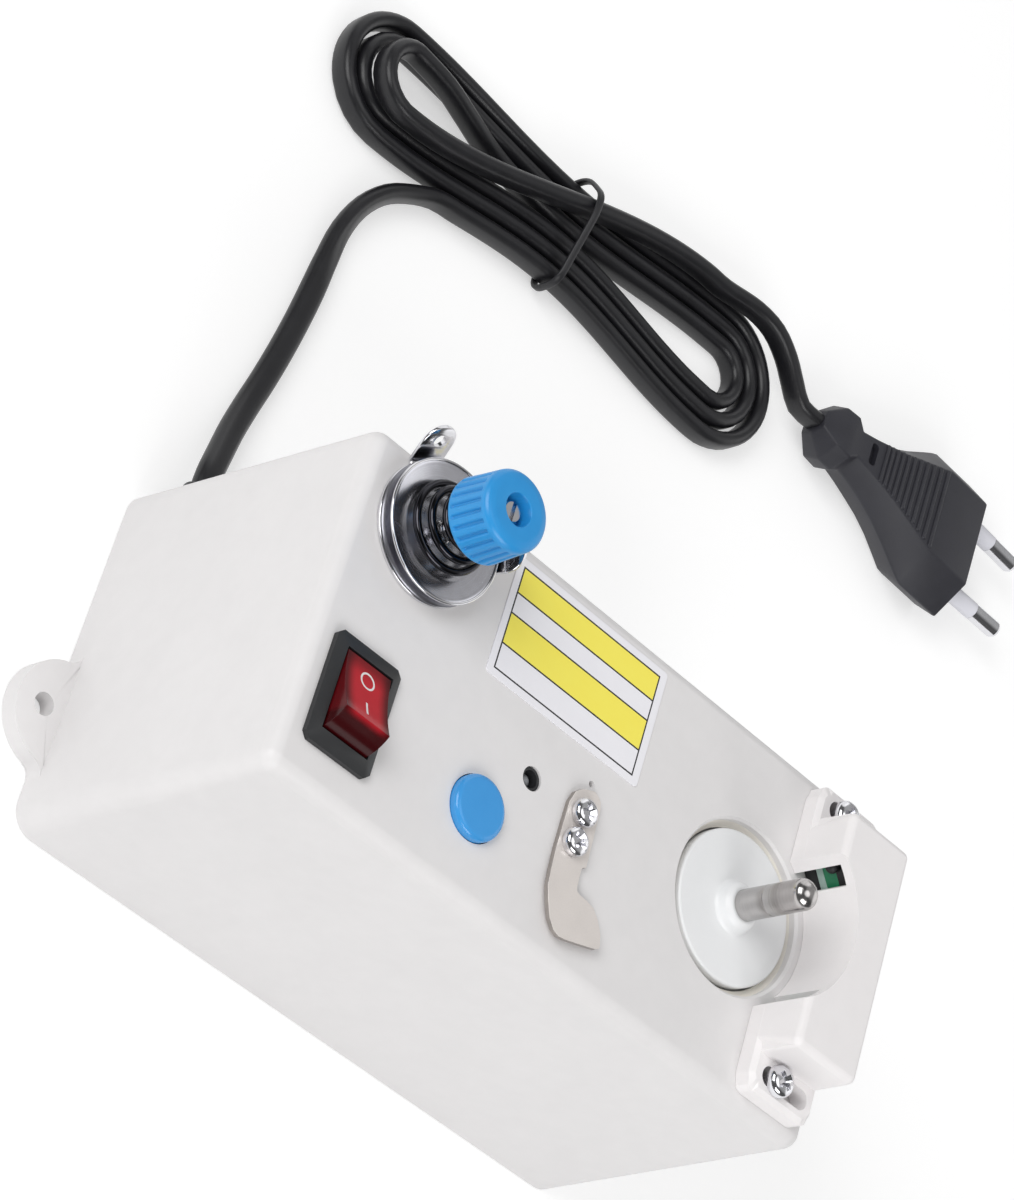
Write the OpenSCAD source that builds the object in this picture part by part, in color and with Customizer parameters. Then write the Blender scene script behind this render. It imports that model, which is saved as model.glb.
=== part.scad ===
// Bobbin winder: a mains box with a winding spindle, a thread tension unit and a sliding stop sensor.
// Millimetres. The origin is the centre of the base, +Z points up out of the control face,
// +X runs towards the spindle end and +Y towards the side that the lead leaves from.

/* [Case] */
// Length of the case at its base
body_len = 140.5; // [138:0.5:156]
// Width of the case at its base
body_wid = 70.5; // [69:0.5:84]
// Height of the control face over the table
body_h = 63; // [61:0.5:76]
// How far each side leans in by the top
draft = 1.65; // [1:0.05:2.2]
// Thickness of the side walls
wall = 2.6; // [2.2:0.1:3]
// Thickness of the control face
top_wall = 2.8; // [2.4:0.1:3.4]
// Radius of the upright corners at the base
corner_r = 5; // [4:0.1:6]
// Radius round the control face
edge_r = 3.2; // [2.6:0.1:3.4]
// Thickness of the base plate
base_t = 2.4; // [2:0.1:2.8]

/* [Mounting ears] */
// Radius of an ear
ear_r = 10; // [8:0.1:11]
// Thickness of an ear
ear_t = 3.8; // [3:0.1:5]
// Diameter of the screw hole in an ear
ear_hole_d = 4.2; // [3.2:0.1:5]
// Distance of the hole from the end wall
ear_hole_out = 4.15; // [3.8:0.05:5]
// Place of the ears across the case
ear_y = -14; // [-18:0.5:-8]

/* [Winding spindle] */
// Diameter of the spindle
spindle_d = 5.8; // [5:0.1:7]
// How far the spindle stands over the control face
spindle_rise = 17.8; // [14:0.1:26]
// Distance of the spindle from the end of the case
spindle_inset = 31.75; // [31:0.25:36]
// Diameter of the well round the disc
well_d = 31.8; // [31:0.1:33]
// Diameter of the winding disc
disc_d = 28.7; // [24:0.1:29]
// How far the disc lies under the control face
disc_drop = 0.8; // [0.6:0.1:2]
// Diameter of the disc's hub
hub_d = 10.2; // [9:0.1:12]
// Diameter of the motor
motor_d = 36; // [30:0.5:38]
// Length of the motor's can
motor_len = 38; // [30:0.5:40]

/* [Sensor housing] */
// Length of the housing along the case
hood_len = 17.1; // [16:0.1:18]
// Width of the tall block
hood_wid = 45; // [44:0.5:47]
// Height of the tall block
hood_h = 13; // [12:0.1:18]
// Height of the slotted lugs
lug_h = 4; // [3.4:0.1:5]
// Reach of a lug past the block
lug_reach = 7.7; // [7.4:0.1:9]
// Radius of the hollow that faces the spindle
hollow_r = 17.7; // [17:0.1:18.4]
// Distance from the spindle to the housing's near face
hood_near = 9.6; // [9:0.1:10.4]
// Length of a slot
slot_len = 12.3; // [11:0.1:13]
// Width of a slot
slot_wid = 3.8; // [3.5:0.1:4.2]
// Width of the beam windows
window_wid = 2.7; // [2.6:0.1:3]

/* [Tension unit] */
// Distance of the tension post from the end of the case
post_inset = 18.95; // [18.5:0.05:22]
// Distance of the tension post from the rear side of the case
post_y = 13.75; // [13.75:0.5:17.25]
// Diameter of the threaded post
post_d = 4; // [3:0.1:4.2]
// Diameter of the tension discs
plate_d = 25.2; // [22:0.1:26]
// Height from the control face to the spring seat
seat_rise = 10.9; // [10:0.1:14]
// Diameter of the spring's wire
wire_d = 1.2; // [0.9:0.1:1.3]
// Turns of the spring
spring_turns = 3.75; // [3:0.25:4.5]
// Diameter of the knob at its foot
knob_d = 15.2; // [13:0.1:16.4]
// Height of the knob
knob_h = 9.2; // [8:0.1:12]
// Number of grooves round the knob
knob_grooves = 24; // [16:1:28]

/* [Switch and button] */
// Distance of the switch from the end of the case
switch_inset = 13.9; // [13.4:0.1:16]
// Distance of the switch's middle from the front side of the case
switch_y = 19.75; // [19.75:0.5:23.25]
// Width of the switch's bezel
bezel_wid = 15; // [14.6:0.1:16]
// Length of the switch's bezel
bezel_len = 21; // [20.6:0.1:22]
// Thickness of the bezel
bezel_t = 2; // [1.6:0.1:2.4]
// Tilt of the rocker to each side
rocker_tilt = 20; // [14:1:20]
// Place of the push button along the case
button_x = -25; // [-27:0.5:-23]
// Place of the push button across the case
button_y = -16.9; // [-18:0.1:-15]
// Diameter of the push button
button_d = 11.66; // [10:0.02:12.4]
// How far the button stands over the control face
button_rise = 1.7; // [1.4:0.1:3]

/* [Cutter blade] */
// Place of the blade's upper screw along the case
blade_x = -3.1; // [-5:0.1:0]
// Place of the blade's upper screw across the case
blade_y = -5.2; // [-7:0.1:-3]
// Thickness of the blade
blade_t = 1; // [0.6:0.1:1.4]
// Upward bend of the hooked end, in degrees
blade_bend = 4; // [2:0.5:8]

/* [Cord] */
// Width of the flat cord
cord_wid = 5.4; // [5:0.1:5.6]
// Thickness of the flat cord
cord_t = 3.4; // [3:0.1:3.5]
// Loops in the hank
hank_loops = 3; // [3:1:3]
// Straight half length of the hank's loops
hank_half = 49; // [46:0.5:50]
// Radius of the hank's outer loop
hank_r = 16.4; // [16:0.1:17]
// Step from loop to loop
hank_step = 4.1; // [4:0.05:4.2]

/* [Hidden] */
$fn = 64;

// Clearances: a running fit, a seated face, and a free gap between moving pieces
run_gap = 0.05;
seat_gap = 0.05;
free_gap = 0.3;
// Overlap of unions and reach of cuts past a face
eps = 0.05;
cut = 1;

// Colours
shell_white = [0.89, 0.875, 0.855];
nylon_white = [0.93, 0.935, 0.94];
knob_blue = [0.19, 0.55, 0.82];
bezel_black = [0.16, 0.16, 0.17];
rocker_red = [0.55, 0.09, 0.11];
chrome_grey = [0.78, 0.78, 0.8];
dark_steel = [0.3, 0.3, 0.32];
board_green = [0.06, 0.32, 0.22];
cord_black = [0.09, 0.09, 0.1];
sleeve_grey = [0.8, 0.8, 0.78];
brass_yellow = [0.78, 0.62, 0.3];
label_yellow = [0.95, 0.86, 0.35];

// Faces and centres that several pieces share
top_z = body_h;
under_z = body_h - top_wall;
inner_len = body_len - 2 * wall;
inner_wid = body_wid - 2 * wall;
spindle_x = body_len / 2 - spindle_inset;
post_x = -body_len / 2 + post_inset;
switch_x = -body_len / 2 + switch_inset;
post_at_y = body_wid / 2 - post_y;
switch_at_y = -body_wid / 2 + switch_y;

// Screws that go into moulded bosses
boss_r = 3;
pilot_depth = 11;
small_screw_d = 2.8;
small_head_d = 5.2;
small_head_h = 1.7;
clear_hole_d = 3.2;

// Base plate and its screws
base_gap = 0.25;
base_boss_in = 24;
base_boss_side = 6.2;
base_sink = 1.8;
base_boss_x = body_len / 2 - base_boss_in;
base_boss_y = body_wid / 2 - base_boss_side;

// Motor, bracket and drive
bracket_drop = 8.2;
bracket_t = 2.5;
bracket_pitch = 36;
bracket_edge = 4;
bracket_size = bracket_pitch + 2 * bracket_edge;
bracket_top = under_z - bracket_drop;
motor_top = bracket_top - bracket_t;
motor_boss_r = 5;
motor_boss_h = 2;
motor_screw_pitch = 25;
motor_bite = 5;
shaft_d = 3;
shaft_sunk = 7;
disc_top = top_z - disc_drop;
disc_t = 3.4;
hub_under = 2.8;
spindle_foot = disc_top - disc_t - hub_under;
socket_len = 7;
hub_rise = 2.6;
spindle_step = 0.4;
well_wall = 1.6;
well_floor_t = 1.5;
well_edge = 0.5;
well_floor = disc_top - disc_t - 0.6;

// Control board and what stands on it
board_t = 1.6;
board_drop = 12.6;
board_top = under_z - board_drop;
board_len = 44;
board_wid = 34;
board_x = -14;
board_y = -10;
board_hole_in = 3;
board_bite = 7;
led_x = -15.1;
led_y = -5.1;
led_r = 1.5;
led_well_r = 2.2;
led_drop = 1.4;
led_flange = 3.6;
lead_wire = 0.5;
gauge_hole = [-2, 1.5];
gauge_hole_r = 0.7;

// Push button
button_gap = 0.17;
button_flange = 1.2;
button_flange_t = 1.2;
button_stem_r = 1.7;
push_switch_size = 9;
push_switch_h = 4;
stem_reach = 1.6;

// Power board
power_rise = 5.6;
power_len = 44;
power_wid = 44;
power_x = -33;
coil_size = [22, 20, 18];
coil_place = [5, 9];
capacitor_d = 16;
capacitor_h = 20;

// Rocker switch
cut_wid = 13.2;
cut_len = 19.4;
switch_gap = 0.15;
switch_depth = 18;
switch_pocket = [10.7, 15.6];
bezel_corner = 1.7;
rocker_r = 7.7;
rocker_wid = 10.2;
rocker_half_span = 54;
rocker_sag = 0.6;
rocker_pivot_z = top_z - 0.2;
rocker_foot = 3.4;
rocker_pin_r = 1;
rocker_pin_out = 1;
terminal = [0.8, 4.8, 9];
terminal_pitch = 7;

// Tension unit
plate_t = 0.8;
collar_r = 4;
disc_sheet = 0.4;
disc_flat_r = 8.5;
disc_flare = 0.95;
disc_floor = 1.9;
eyelet_angle = 120;
tab_angle = 18;
ear_wid = 7.4;
ear_tall = 8.8;
ear_lean = 36;
tab_lean = 11;
tongue_step = 0.1;
eyelet_up = 5.8;
eyelet_r = 1.4;
ear_foot_r = 13.2;
tab_tall = 6;
spring_big_r = 8;
spring_small_r = 3.8;
seat_t = 0.7;
seat_r = 5;
post_under = 9;
nut_h = 3.2;
nut_r = 3.9;
nut_drop = 1;
post_short = 1.4;
slot_depth = 1.2;
post_slot = 0.8;
knob_well_r = 2.9;
knob_well_depth = 3.4;
knob_shoulder = 0.62;
groove_r = 0.5;
groove_foot = 0.6;

// Cutter blade
blade_pitch = 5.9;
blade_head_d = 5.4;
blade_head_h = 2;
bend_y = -8.4;
blade_run = 20;
blade_stock_h = 10;
blade_outline = [[-3.5, 0.6], [-3.5, -13.4], [-3.3, -16.1], [-2.5, -18.5], [-1.3, -21.4], [0.1, -22.9],
    [1.6, -23.4], [3.1, -23.2], [6.6, -22.2], [10.5, -21], [11.3, -20.4], [11.4, -19.8], [10.9, -17.8],
    [9.6, -15.7], [8, -14.2], [6, -13.8], [4.2, -13.7], [3.5, -13.4], [3.3, -12.8], [3.3, -9.2],
    [3.6, -8.7], [4.3, -8.4], [4.1, -4], [3.8, 3], [3.4, 4.3], [2.6, 4.9], [1.6, 5.3], [0.3, 4.9],
    [-1.4, 4.2], [-2.8, 2.8]];

// Label sticker
label_size = [39.6, 23.6];
label_centre = [-12, 18.4];
label_t = 0.2;
label_r = 0.8;

// Sensor housing
hood_edge = 1.6;
lug_corner = 2.4;
lug_edge = 0.9;
slot_ahead = 0.15;
screw_back = 2.3;
hood_x = spindle_x + hood_near;
hood_mid = hood_x + hood_len / 2;
hood_top = top_z + hood_h;
lug_y = hood_wid / 2 + lug_reach - 3;
slide_gap = 0.05;
hood_screw_x = hood_mid + slot_ahead - screw_back;
hood_head_d = 6;
hood_head_h = 2.3;
hood_screw_d = 3;
pocket_wid = 5;
hollow_wall = 1.5;
pocket_roof = 2;
pocket_in = 1.8;
pocket_len = hood_len - 2 * pocket_in;
window_in = 1.9;
window_roof = 2.1;
beam_rise = 7.6;
eye_r = 1.25;
eye_len = 2.4;
hood_board_t = 1.2;
hood_board_h = 9.6;

// Where the lead leaves the case
exit_x = -60.5;
exit_z = 6.4;
grommet_half = [4.4, 3];
grommet_flange = 1;
grommet_flange_t = 1.2;
grommet_out = 2.5;
grommet_in = 11;
grommet_tip = 0.86;

// Route of the lead from the grommet to the hank, and how the flat cord turns on edge along it
exit_y = body_wid / 2 + grommet_flange_t + grommet_out;
lead_points = [[exit_x, exit_y + 4, exit_z, 0], [-59, 49, 4.9, 0], [-57.2, 56, 3.2, 0], [-55.3, 63, 2.1, 0],
    [-53.6, 70, 1.8, 0], [-52.1, 78, 1.8, 0], [-50.9, 86, 1.8, 0], [-50, 94, 1.8, 0], [-49.5, 101.5, 2, 15],
    [-48.8, 109, 2.3, 35], [-46.5, 116.2, 2.6, 55], [-42.4, 122.3, 2.8, 75], [-37, 126.6, 2.8, 90]];
lead_end_x = -31;

// Hank: place, waist, layers, and the way out to the plug
hank_centre = [0, 144.5];
hank_waist = 4.65;
layer_step = 5.9;
tie_wid = 2.4;
tie_t = 1;
waist_lift = 1.3;
loop_rings = 24;
last_loop_r = 8.6;
cross_end = [41, 13.6];
tail_points = [[50.5, 159.5, 8.8], [57.4, 158.8, 8.8], [63.2, 156, 8.2], [67.6, 152.5, 7.4]];

// Plug: where its cord end lies, its turn, and its sections along its axis
plug_place = [77, 149.2, 6.85];
plug_turn = -1.6;
plug_sections = [[0, 5, 3.4, 4.2], [2, 8, 5.6, 5.4], [7.5, 8.2, 5.8, 5.6], [10.5, 5.6, 3.4, 4.8],
    [14.5, 6.4, 4.4, 5.1], [19, 7.8, 5.6, 5.5], [23.5, 9.8, 6.8, 5.9], [28, 12.4, 8.1, 6.3],
    [32.5, 15.4, 9.4, 6.6], [36.5, 17.7, 10.7, 6.85], [49, 17.7, 10.7, 6.85]];
plug_len = 49;
pin_pitch = 18.6;
pin_r = 2;
pin_core_r = 1.5;
pin_len = 19;
sleeve_len = 10;
pin_toe = 1.7;

// A rectangle with round corners, centred
module round_rect(x, y, r) {
    square([x - 2 * r, y], center = true);
    square([x, y - 2 * r], center = true);
    for (sx = [-1, 1], sy = [-1, 1])
        translate([sx * (x / 2 - r), sy * (y / 2 - r)])
            circle(r);
}

// A slot along X, centred
module slot_shape(length, width) {
    square([length - width, width], center = true);
    for (sx = [-1, 1])
        translate([sx * (length - width) / 2, 0])
            circle(width / 2);
}

// Children at the four corners of a rectangle
module at_corners(x, y) {
    for (sx = [-1, 1], sy = [-1, 1])
        translate([sx * x, sy * y, 0])
            children();
}

// A pan-head screw that points down, with the seat of its head at the origin
module pan_screw(d, length, head_d, head_h) {
    rotate_extrude()
        polygon([[0, -length], [d / 2 - 0.3, -length], [d / 2, -length + 0.6], [d / 2, 0], [head_d / 2, 0],
            [head_d / 2, head_h * 0.35], [head_d / 2 - 0.35, head_h * 0.72], [head_d / 4, head_h],
            [0, head_h]]);
}

// A closed skin over rings of points, each ring with the same count
module skin(rings) {
    m = len(rings[0]);
    n = len(rings);
    points = [for (ring = rings, p = ring) p];
    sides = [for (i = [0 : n - 2], j = [0 : m - 1])
        let (a = i * m + j, b = i * m + (j + 1) % m, c = b + m, d = a + m)
            each [[a, d, c], [a, c, b]]];
    foot = [for (j = [1 : m - 2]) [0, j, j + 1]];
    last = (n - 1) * m;
    head = [for (j = [1 : m - 2]) [last, last + j + 1, last + j]];
    polyhedron(points, concat(sides, foot, head));
}

function unit(v) = v / norm(v);
function flat(p) = [p.x, p.y, p.z];
function smooth(t) = t * t * (3 - 2 * t);

// Rings of a section swept along a path whose points carry a fourth value, the roll in degrees
function path_way(path, i) =
    unit(flat(path[min(i + 1, len(path) - 1)]) - flat(path[max(i - 1, 0)]));
function swept(path, section) = [for (i = [0 : len(path) - 1])
    let (way = path_way(path, i), across = unit(cross([0, 0, 1], way)),
        up = cross(way, across), a = path[i][3])
        [for (q = section)
            flat(path[i]) + (q.x * cos(a) - q.y * sin(a)) * across + (q.x * sin(a) + q.y * cos(a)) * up]];

// Sections of the flat cord with its wide side across: eight sides for the lead, six for the hank
function flat_section(n) = [for (i = [0 : n - 1])
    let (a = 360 * (i + 0.5) / n)
        [sign(cos(a)) * pow(abs(cos(a)), 0.6) * cord_wid / 2,
            sign(sin(a)) * pow(abs(sin(a)), 0.7) * cord_t / 2]];
hank_section = [[cord_wid / 2, 0], [cord_wid / 4, cord_t / 2], [-cord_wid / 4, cord_t / 2],
    [-cord_wid / 2, 0], [-cord_wid / 4, -cord_t / 2], [cord_wid / 4, -cord_t / 2]];

// Loops of the hank. The turn counts loops from the near run: run, end, run back, other end.
function waist(x) = 0.5 + 0.5 * cos(180 * max(-1, min(1, x / hank_half)));
function loop_r(turn) =
    let (inward = hank_r - hank_step * min(turn, hank_loops - 0.25))
        turn < hank_loops - 0.25 ? inward
            : inward + (last_loop_r - inward) * (turn - hank_loops + 0.25) * 4;
function climb(turn) = smooth(max(0, min(1, (turn - hank_loops + 1 / 3) * 12)));
function loop_plan(turn) =
    let (f = turn - floor(turn), r = loop_r(turn), k = floor(f * 4), s = f * 4 - k)
        k == 0 ? let (x = hank_half * (2 * s - 1)) [x, -(r - hank_waist * waist(x))]
            : k == 1 ? [hank_half + r * sin(180 * s), -r * cos(180 * s)]
                : k == 2 ? let (x = hank_half * (1 - 2 * s)) [x, r - hank_waist * waist(x)]
                    : [-hank_half - r * sin(180 * s), r * cos(180 * s)];
function loop_point(turn) =
    let (p = loop_plan(turn))
        [hank_centre.x + p.x, hank_centre.y + p.y,
            cord_wid / 2 + waist_lift * waist(p.x) + layer_step * climb(turn), 90];

// The run that crosses over the loops to the far side
function cross_point(s) =
    let (x = -hank_half + s * (cross_end.x + hank_half),
        y = -last_loop_r + (cross_end.y + last_loop_r) * smooth(s))
        [hank_centre.x + x, hank_centre.y + y, cord_wid / 2 + waist_lift * waist(x) + layer_step, 90];
cross_rings = 8;
first_turn = (lead_end_x + cord_wid - hank_centre.x + hank_half) / hank_half / 8;
first_point = loop_point(first_turn);
first_way = unit(flat(loop_point(first_turn + 0.02)) - flat(first_point));
plug_way = [cos(plug_turn), sin(plug_turn), 0];
hank_start = concat(flat(first_point) - cord_wid * first_way, [90]);
hank_end = concat(plug_place, [90]);
hank_path = concat([hank_start, first_point],
    [for (i = [ceil(first_turn * loop_rings + 0.5) : hank_loops * loop_rings]) loop_point(i / loop_rings)],
    [for (i = [1 : cross_rings]) cross_point(i / cross_rings)],
    [for (p = tail_points) concat(p, [90])],
    [concat(plug_place - cord_wid * plug_way, [90]), hank_end]);
lead_end = flat(first_point) - (cord_wid + seat_gap) * first_way;
lead_path = concat([[exit_x, exit_y, exit_z, 0]], lead_points,
    [concat(lead_end - cord_t / 2 * first_way, [90]), concat(lead_end, [90])]);

// Least gap of the hank to itself: from each point to each stretch that isn't next to it
function stretch_gap(p, a, b) =
    let (ab = [b.x - a.x, b.y - a.y], ap = [p.x - a.x, p.y - a.y],
        t = max(0, min(1, (ab * ap) / (ab * ab))),
        away = norm(ap - t * ab) - cord_t, over = abs(p.z - a.z - t * (b.z - a.z)) - cord_wid)
        max(away, over);
function least_gap(path) = min([for (i = [0 : len(path) - 1], j = [0 : len(path) - 2])
    if (abs(i - j) > 4) stretch_gap(path[i], path[j], path[j + 1])]);
function path_length(path, i = 0) =
    i >= len(path) - 1 ? 0 : norm(flat(path[i + 1]) - flat(path[i])) + path_length(path, i + 1);
echo(hank_least_gap = least_gap(hank_path));
echo(cord_length = path_length(lead_path) + path_length(hank_path));

// Conical spring, wound from the upper disc to the seat
spring_foot = top_z + disc_floor + 2 * disc_sheet + 2 * seat_gap + wire_d / 2;
spring_head = top_z + seat_rise - seat_gap - wire_d / 2;
spring_step = 45;
spring_path = [for (a = [0 : spring_step : 360 * spring_turns])
    let (s = a / (360 * spring_turns), r = spring_big_r + (spring_small_r - spring_big_r) * s)
        [post_x + r * cos(a), post_at_y + r * sin(a), spring_foot + (spring_head - spring_foot) * s, 0]];
spring_section = [for (i = [0 : 5]) wire_d / 2 * [cos(60 * i), sin(60 * i)]];
function coil_gap(path) = min([for (i = [0 : len(path) - 1], j = [0 : len(path) - 1])
    if (abs(i - j) > 3) norm(flat(path[i]) - flat(path[j])) - wire_d]);
echo(spring_least_gap = coil_gap(spring_path));

// Outer and inner forms of the case
module case_block(length, width, height, foot_r, top_r) {
    lean = draft * height / body_h;
    hull() {
        at_corners(length / 2 - foot_r, width / 2 - foot_r)
            cylinder(r = foot_r, h = eps, $fn = 32);
        translate([0, 0, height - top_r])
            at_corners(length / 2 - lean - top_r, width / 2 - lean - top_r)
                sphere(top_r, $fn = 32);
    }
}

module ear_plan() {
    root = 2;
    fillet = 2.2;
    difference() {
        union() {
            circle(ear_r);
            translate([0, -ear_r - fillet])
                square([fillet, 2 * (ear_r + fillet)]);
        }
        translate([-ear_r - cut - root, -ear_r - cut - fillet])
            square([ear_r + cut, 2 * (ear_r + cut + fillet)]);
        for (side = [-1, 1])
            translate([fillet + 0.3, side * (ear_r + fillet)])
                circle(fillet);
        translate([ear_hole_out, 0])
            circle(ear_hole_d / 2);
    }
}

module case_bosses() {
    reach = under_z + eps;
    for (sx = [-1, 1], sy = [-1, 1])
        translate([sx * base_boss_x, sy * base_boss_y, base_t + seat_gap])
            cylinder(r = boss_r, h = reach - base_t - seat_gap);
    translate([spindle_x, 0, bracket_top + seat_gap])
        at_corners(bracket_pitch / 2, bracket_pitch / 2)
            cylinder(r = boss_r, h = reach - bracket_top - seat_gap);
    translate([board_x, board_y, board_top + seat_gap])
        at_corners(board_len / 2 - board_hole_in, board_wid / 2 - board_hole_in)
            cylinder(r = boss_r, h = reach - board_top - seat_gap);
    for (side = [-1, 1])
        translate([hood_screw_x, side * lug_y, under_z - 8])
            cylinder(r = boss_r, h = 8 + eps);
    blade_screw_places()
        translate([0, 0, -top_wall - blade_t - 5])
            cylinder(r = 2.6, h = 5 + eps);
}

// Holes in the bosses, all from below unless the screw comes from above
module case_pilots() {
    pilot_r = small_screw_d / 2 + run_gap;
    for (sx = [-1, 1], sy = [-1, 1])
        translate([sx * base_boss_x, sy * base_boss_y, base_t - cut])
            cylinder(r = pilot_r, h = pilot_depth + cut);
    translate([spindle_x, 0, bracket_top - cut])
        at_corners(bracket_pitch / 2, bracket_pitch / 2)
            cylinder(r = pilot_r, h = bracket_drop);
    translate([board_x, board_y, board_top - cut])
        at_corners(board_len / 2 - board_hole_in, board_wid / 2 - board_hole_in)
            cylinder(r = pilot_r, h = 9);
    for (side = [-1, 1])
        translate([hood_screw_x, side * lug_y, under_z - 7])
            cylinder(r = hood_screw_d / 2 + run_gap, h = top_wall + 7 + cut);
    blade_screw_places()
        translate([0, 0, -top_wall - blade_t - 4])
            cylinder(r = small_screw_d / 2 + run_gap, h = top_wall + blade_t + 4 + cut);
}

module top_case() {
    color(shell_white)
        difference() {
            union() {
                difference() {
                    case_block(body_len, body_wid, body_h, corner_r, edge_r);
                    translate([0, 0, -eps])
                        case_block(inner_len, inner_wid, under_z + eps, corner_r - wall, 1);
                }
                case_bosses();
                translate([spindle_x, 0, well_floor - well_floor_t])
                    cylinder(r = well_d / 2 + well_wall, h = under_z - well_floor + well_floor_t + eps);
                for (side = [0, 1])
                    mirror([side, 0, 0])
                        translate([body_len / 2, ear_y, 0])
                            linear_extrude(ear_t)
                                ear_plan();
            }
            translate([spindle_x, 0, well_floor]) {
                cylinder(d = well_d, h = top_z - well_floor + cut);
                translate([0, 0, -well_floor_t - cut])
                    cylinder(r = hub_d / 2 + 1 + 2 * free_gap, h = well_floor_t + 2 * cut);
                translate([0, 0, top_z - well_floor - well_edge])
                    cylinder(r1 = well_d / 2, r2 = well_d / 2 + 2 * well_edge, h = 2 * well_edge);
            }
            translate([post_x, post_at_y, under_z - cut])
                cylinder(r = post_d / 2 + run_gap, h = top_wall + 2 * cut);
            translate([switch_x, switch_at_y, under_z + top_wall / 2])
                cube([cut_wid, cut_len, top_wall + 2 * cut], center = true);
            translate([button_x, button_y, under_z - cut])
                cylinder(r = button_d / 2 + button_gap, h = top_wall + 2 * cut);
            translate([led_x, led_y, under_z - cut])
                cylinder(r = led_well_r, h = top_wall + 2 * cut);
            translate([gauge_hole.x, gauge_hole.y, under_z - cut])
                cylinder(r = gauge_hole_r, h = top_wall + 2 * cut);
            translate([exit_x, body_wid / 2 - wall / 2, exit_z])
                rotate([90, 0, 0])
                    linear_extrude(3 * wall, center = true)
                        slot_shape(2 * (grommet_half.x + run_gap), 2 * (grommet_half.y + run_gap));
            case_pilots();
        }
}

module base_plate() {
    color(shell_white)
        difference() {
            linear_extrude(base_t)
                round_rect(inner_len - 2 * base_gap, inner_wid - 2 * base_gap, corner_r - wall);
            translate([0, 0, -cut])
                at_corners(base_boss_x, base_boss_y) {
                    cylinder(d = clear_hole_d, h = base_t + 2 * cut);
                    cylinder(r = small_head_d / 2 + free_gap, h = base_sink + cut);
                }
        }
}

module base_screws() {
    color(chrome_grey)
        at_corners(base_boss_x, base_boss_y)
            translate([0, 0, base_sink - seat_gap])
                mirror([0, 0, 1])
                    pan_screw(small_screw_d, pilot_depth - 1, small_head_d, base_sink - 2 * seat_gap);
}

module label_sticker() {
    color(label_yellow)
        translate([label_centre.x, label_centre.y, top_z])
            linear_extrude(label_t)
                round_rect(label_size.x, label_size.y, label_r);
}

// Motor, with its shaft end up
module motor() {
    r = motor_d / 2;
    color(dark_steel)
        translate([spindle_x, 0, motor_top])
            difference() {
                rotate_extrude()
                    polygon([[0, -motor_len - 3], [motor_boss_r, -motor_len - 3], [motor_boss_r, -motor_len],
                        [r - 2, -motor_len], [r - 0.8, -motor_len + 1.2], [r, -motor_len + 1.2], [r, -1.5],
                        [r - 1.5, 0], [motor_boss_r, 0], [motor_boss_r, motor_boss_h], [0, motor_boss_h]]);
                translate([0, 0, -shaft_sunk])
                    cylinder(r = shaft_d / 2 + run_gap, h = shaft_sunk + motor_boss_h + cut);
                for (side = [-1, 1])
                    translate([side * motor_screw_pitch / 2, 0, -6])
                        cylinder(r = small_screw_d / 2 + run_gap, h = 6 + cut);
            }
}

module motor_shaft() {
    foot = motor_top - shaft_sunk + seat_gap;
    color(chrome_grey)
        translate([spindle_x, 0, foot])
            cylinder(d = shaft_d, h = spindle_foot + socket_len - seat_gap - foot);
}

module motor_bracket() {
    color(chrome_grey)
        translate([spindle_x, 0, motor_top])
            linear_extrude(bracket_t)
                difference() {
                    round_rect(bracket_size, bracket_size, 4);
                    circle(motor_boss_r + run_gap);
                    for (sx = [-1, 1], sy = [-1, 1])
                        translate([sx * bracket_pitch / 2, sy * bracket_pitch / 2])
                            circle(d = clear_hole_d);
                    for (side = [-1, 1])
                        translate([side * motor_screw_pitch / 2, 0])
                            circle(d = clear_hole_d);
                }
}

module bracket_screws() {
    color(chrome_grey)
        translate([spindle_x, 0, motor_top - seat_gap])
            at_corners(bracket_pitch / 2, bracket_pitch / 2)
                mirror([0, 0, 1])
                    pan_screw(small_screw_d, bracket_t + bracket_drop - 2, small_head_d, small_head_h);
}

module motor_screws() {
    color(chrome_grey)
        translate([spindle_x, 0, bracket_top + seat_gap])
            for (side = [-1, 1])
                translate([side * motor_screw_pitch / 2, 0, 0])
                    pan_screw(small_screw_d, bracket_t + motor_bite, small_head_d, small_head_h);
}

// Spindle with a domed end, stepped down in the disc's hub and bored for the motor's shaft
module spindle() {
    r = spindle_d / 2;
    height = top_z + spindle_rise - spindle_foot;
    step = disc_top + hub_rise + seat_gap - spindle_foot;
    color(chrome_grey)
        translate([spindle_x, 0, spindle_foot])
            difference() {
                union() {
                    cylinder(r = r - spindle_step, h = step + eps);
                    translate([0, 0, step])
                        cylinder(r = r, h = height - r - step);
                    translate([0, 0, height - r])
                        sphere(r);
                }
                translate([0, 0, -cut])
                    cylinder(r = shaft_d / 2 + run_gap, h = socket_len + cut);
            }
}

module spindle_disc() {
    r = disc_d / 2;
    bore = spindle_d / 2 - spindle_step + run_gap;
    hub = hub_d / 2;
    color(nylon_white)
        translate([spindle_x, 0, disc_top])
            rotate_extrude()
                polygon([[bore, -disc_t - hub_under], [hub + 1, -disc_t - hub_under], [hub + 1, -disc_t],
                    [r, -disc_t], [r, -0.3], [r - 0.3, 0], [hub, 0], [hub - 0.4, 0.5],
                    [hub - 0.8, hub_rise - 0.8], [hub - 1.4, hub_rise - 0.2], [bore + 0.8, hub_rise],
                    [bore, hub_rise]]);
}

module board_plate(length, width) {
    linear_extrude(board_t)
        difference() {
            square([length, width], center = true);
            for (sx = [-1, 1], sy = [-1, 1])
                translate([sx * (length / 2 - board_hole_in), sy * (width / 2 - board_hole_in)])
                    circle(d = clear_hole_d);
        }
}

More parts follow.
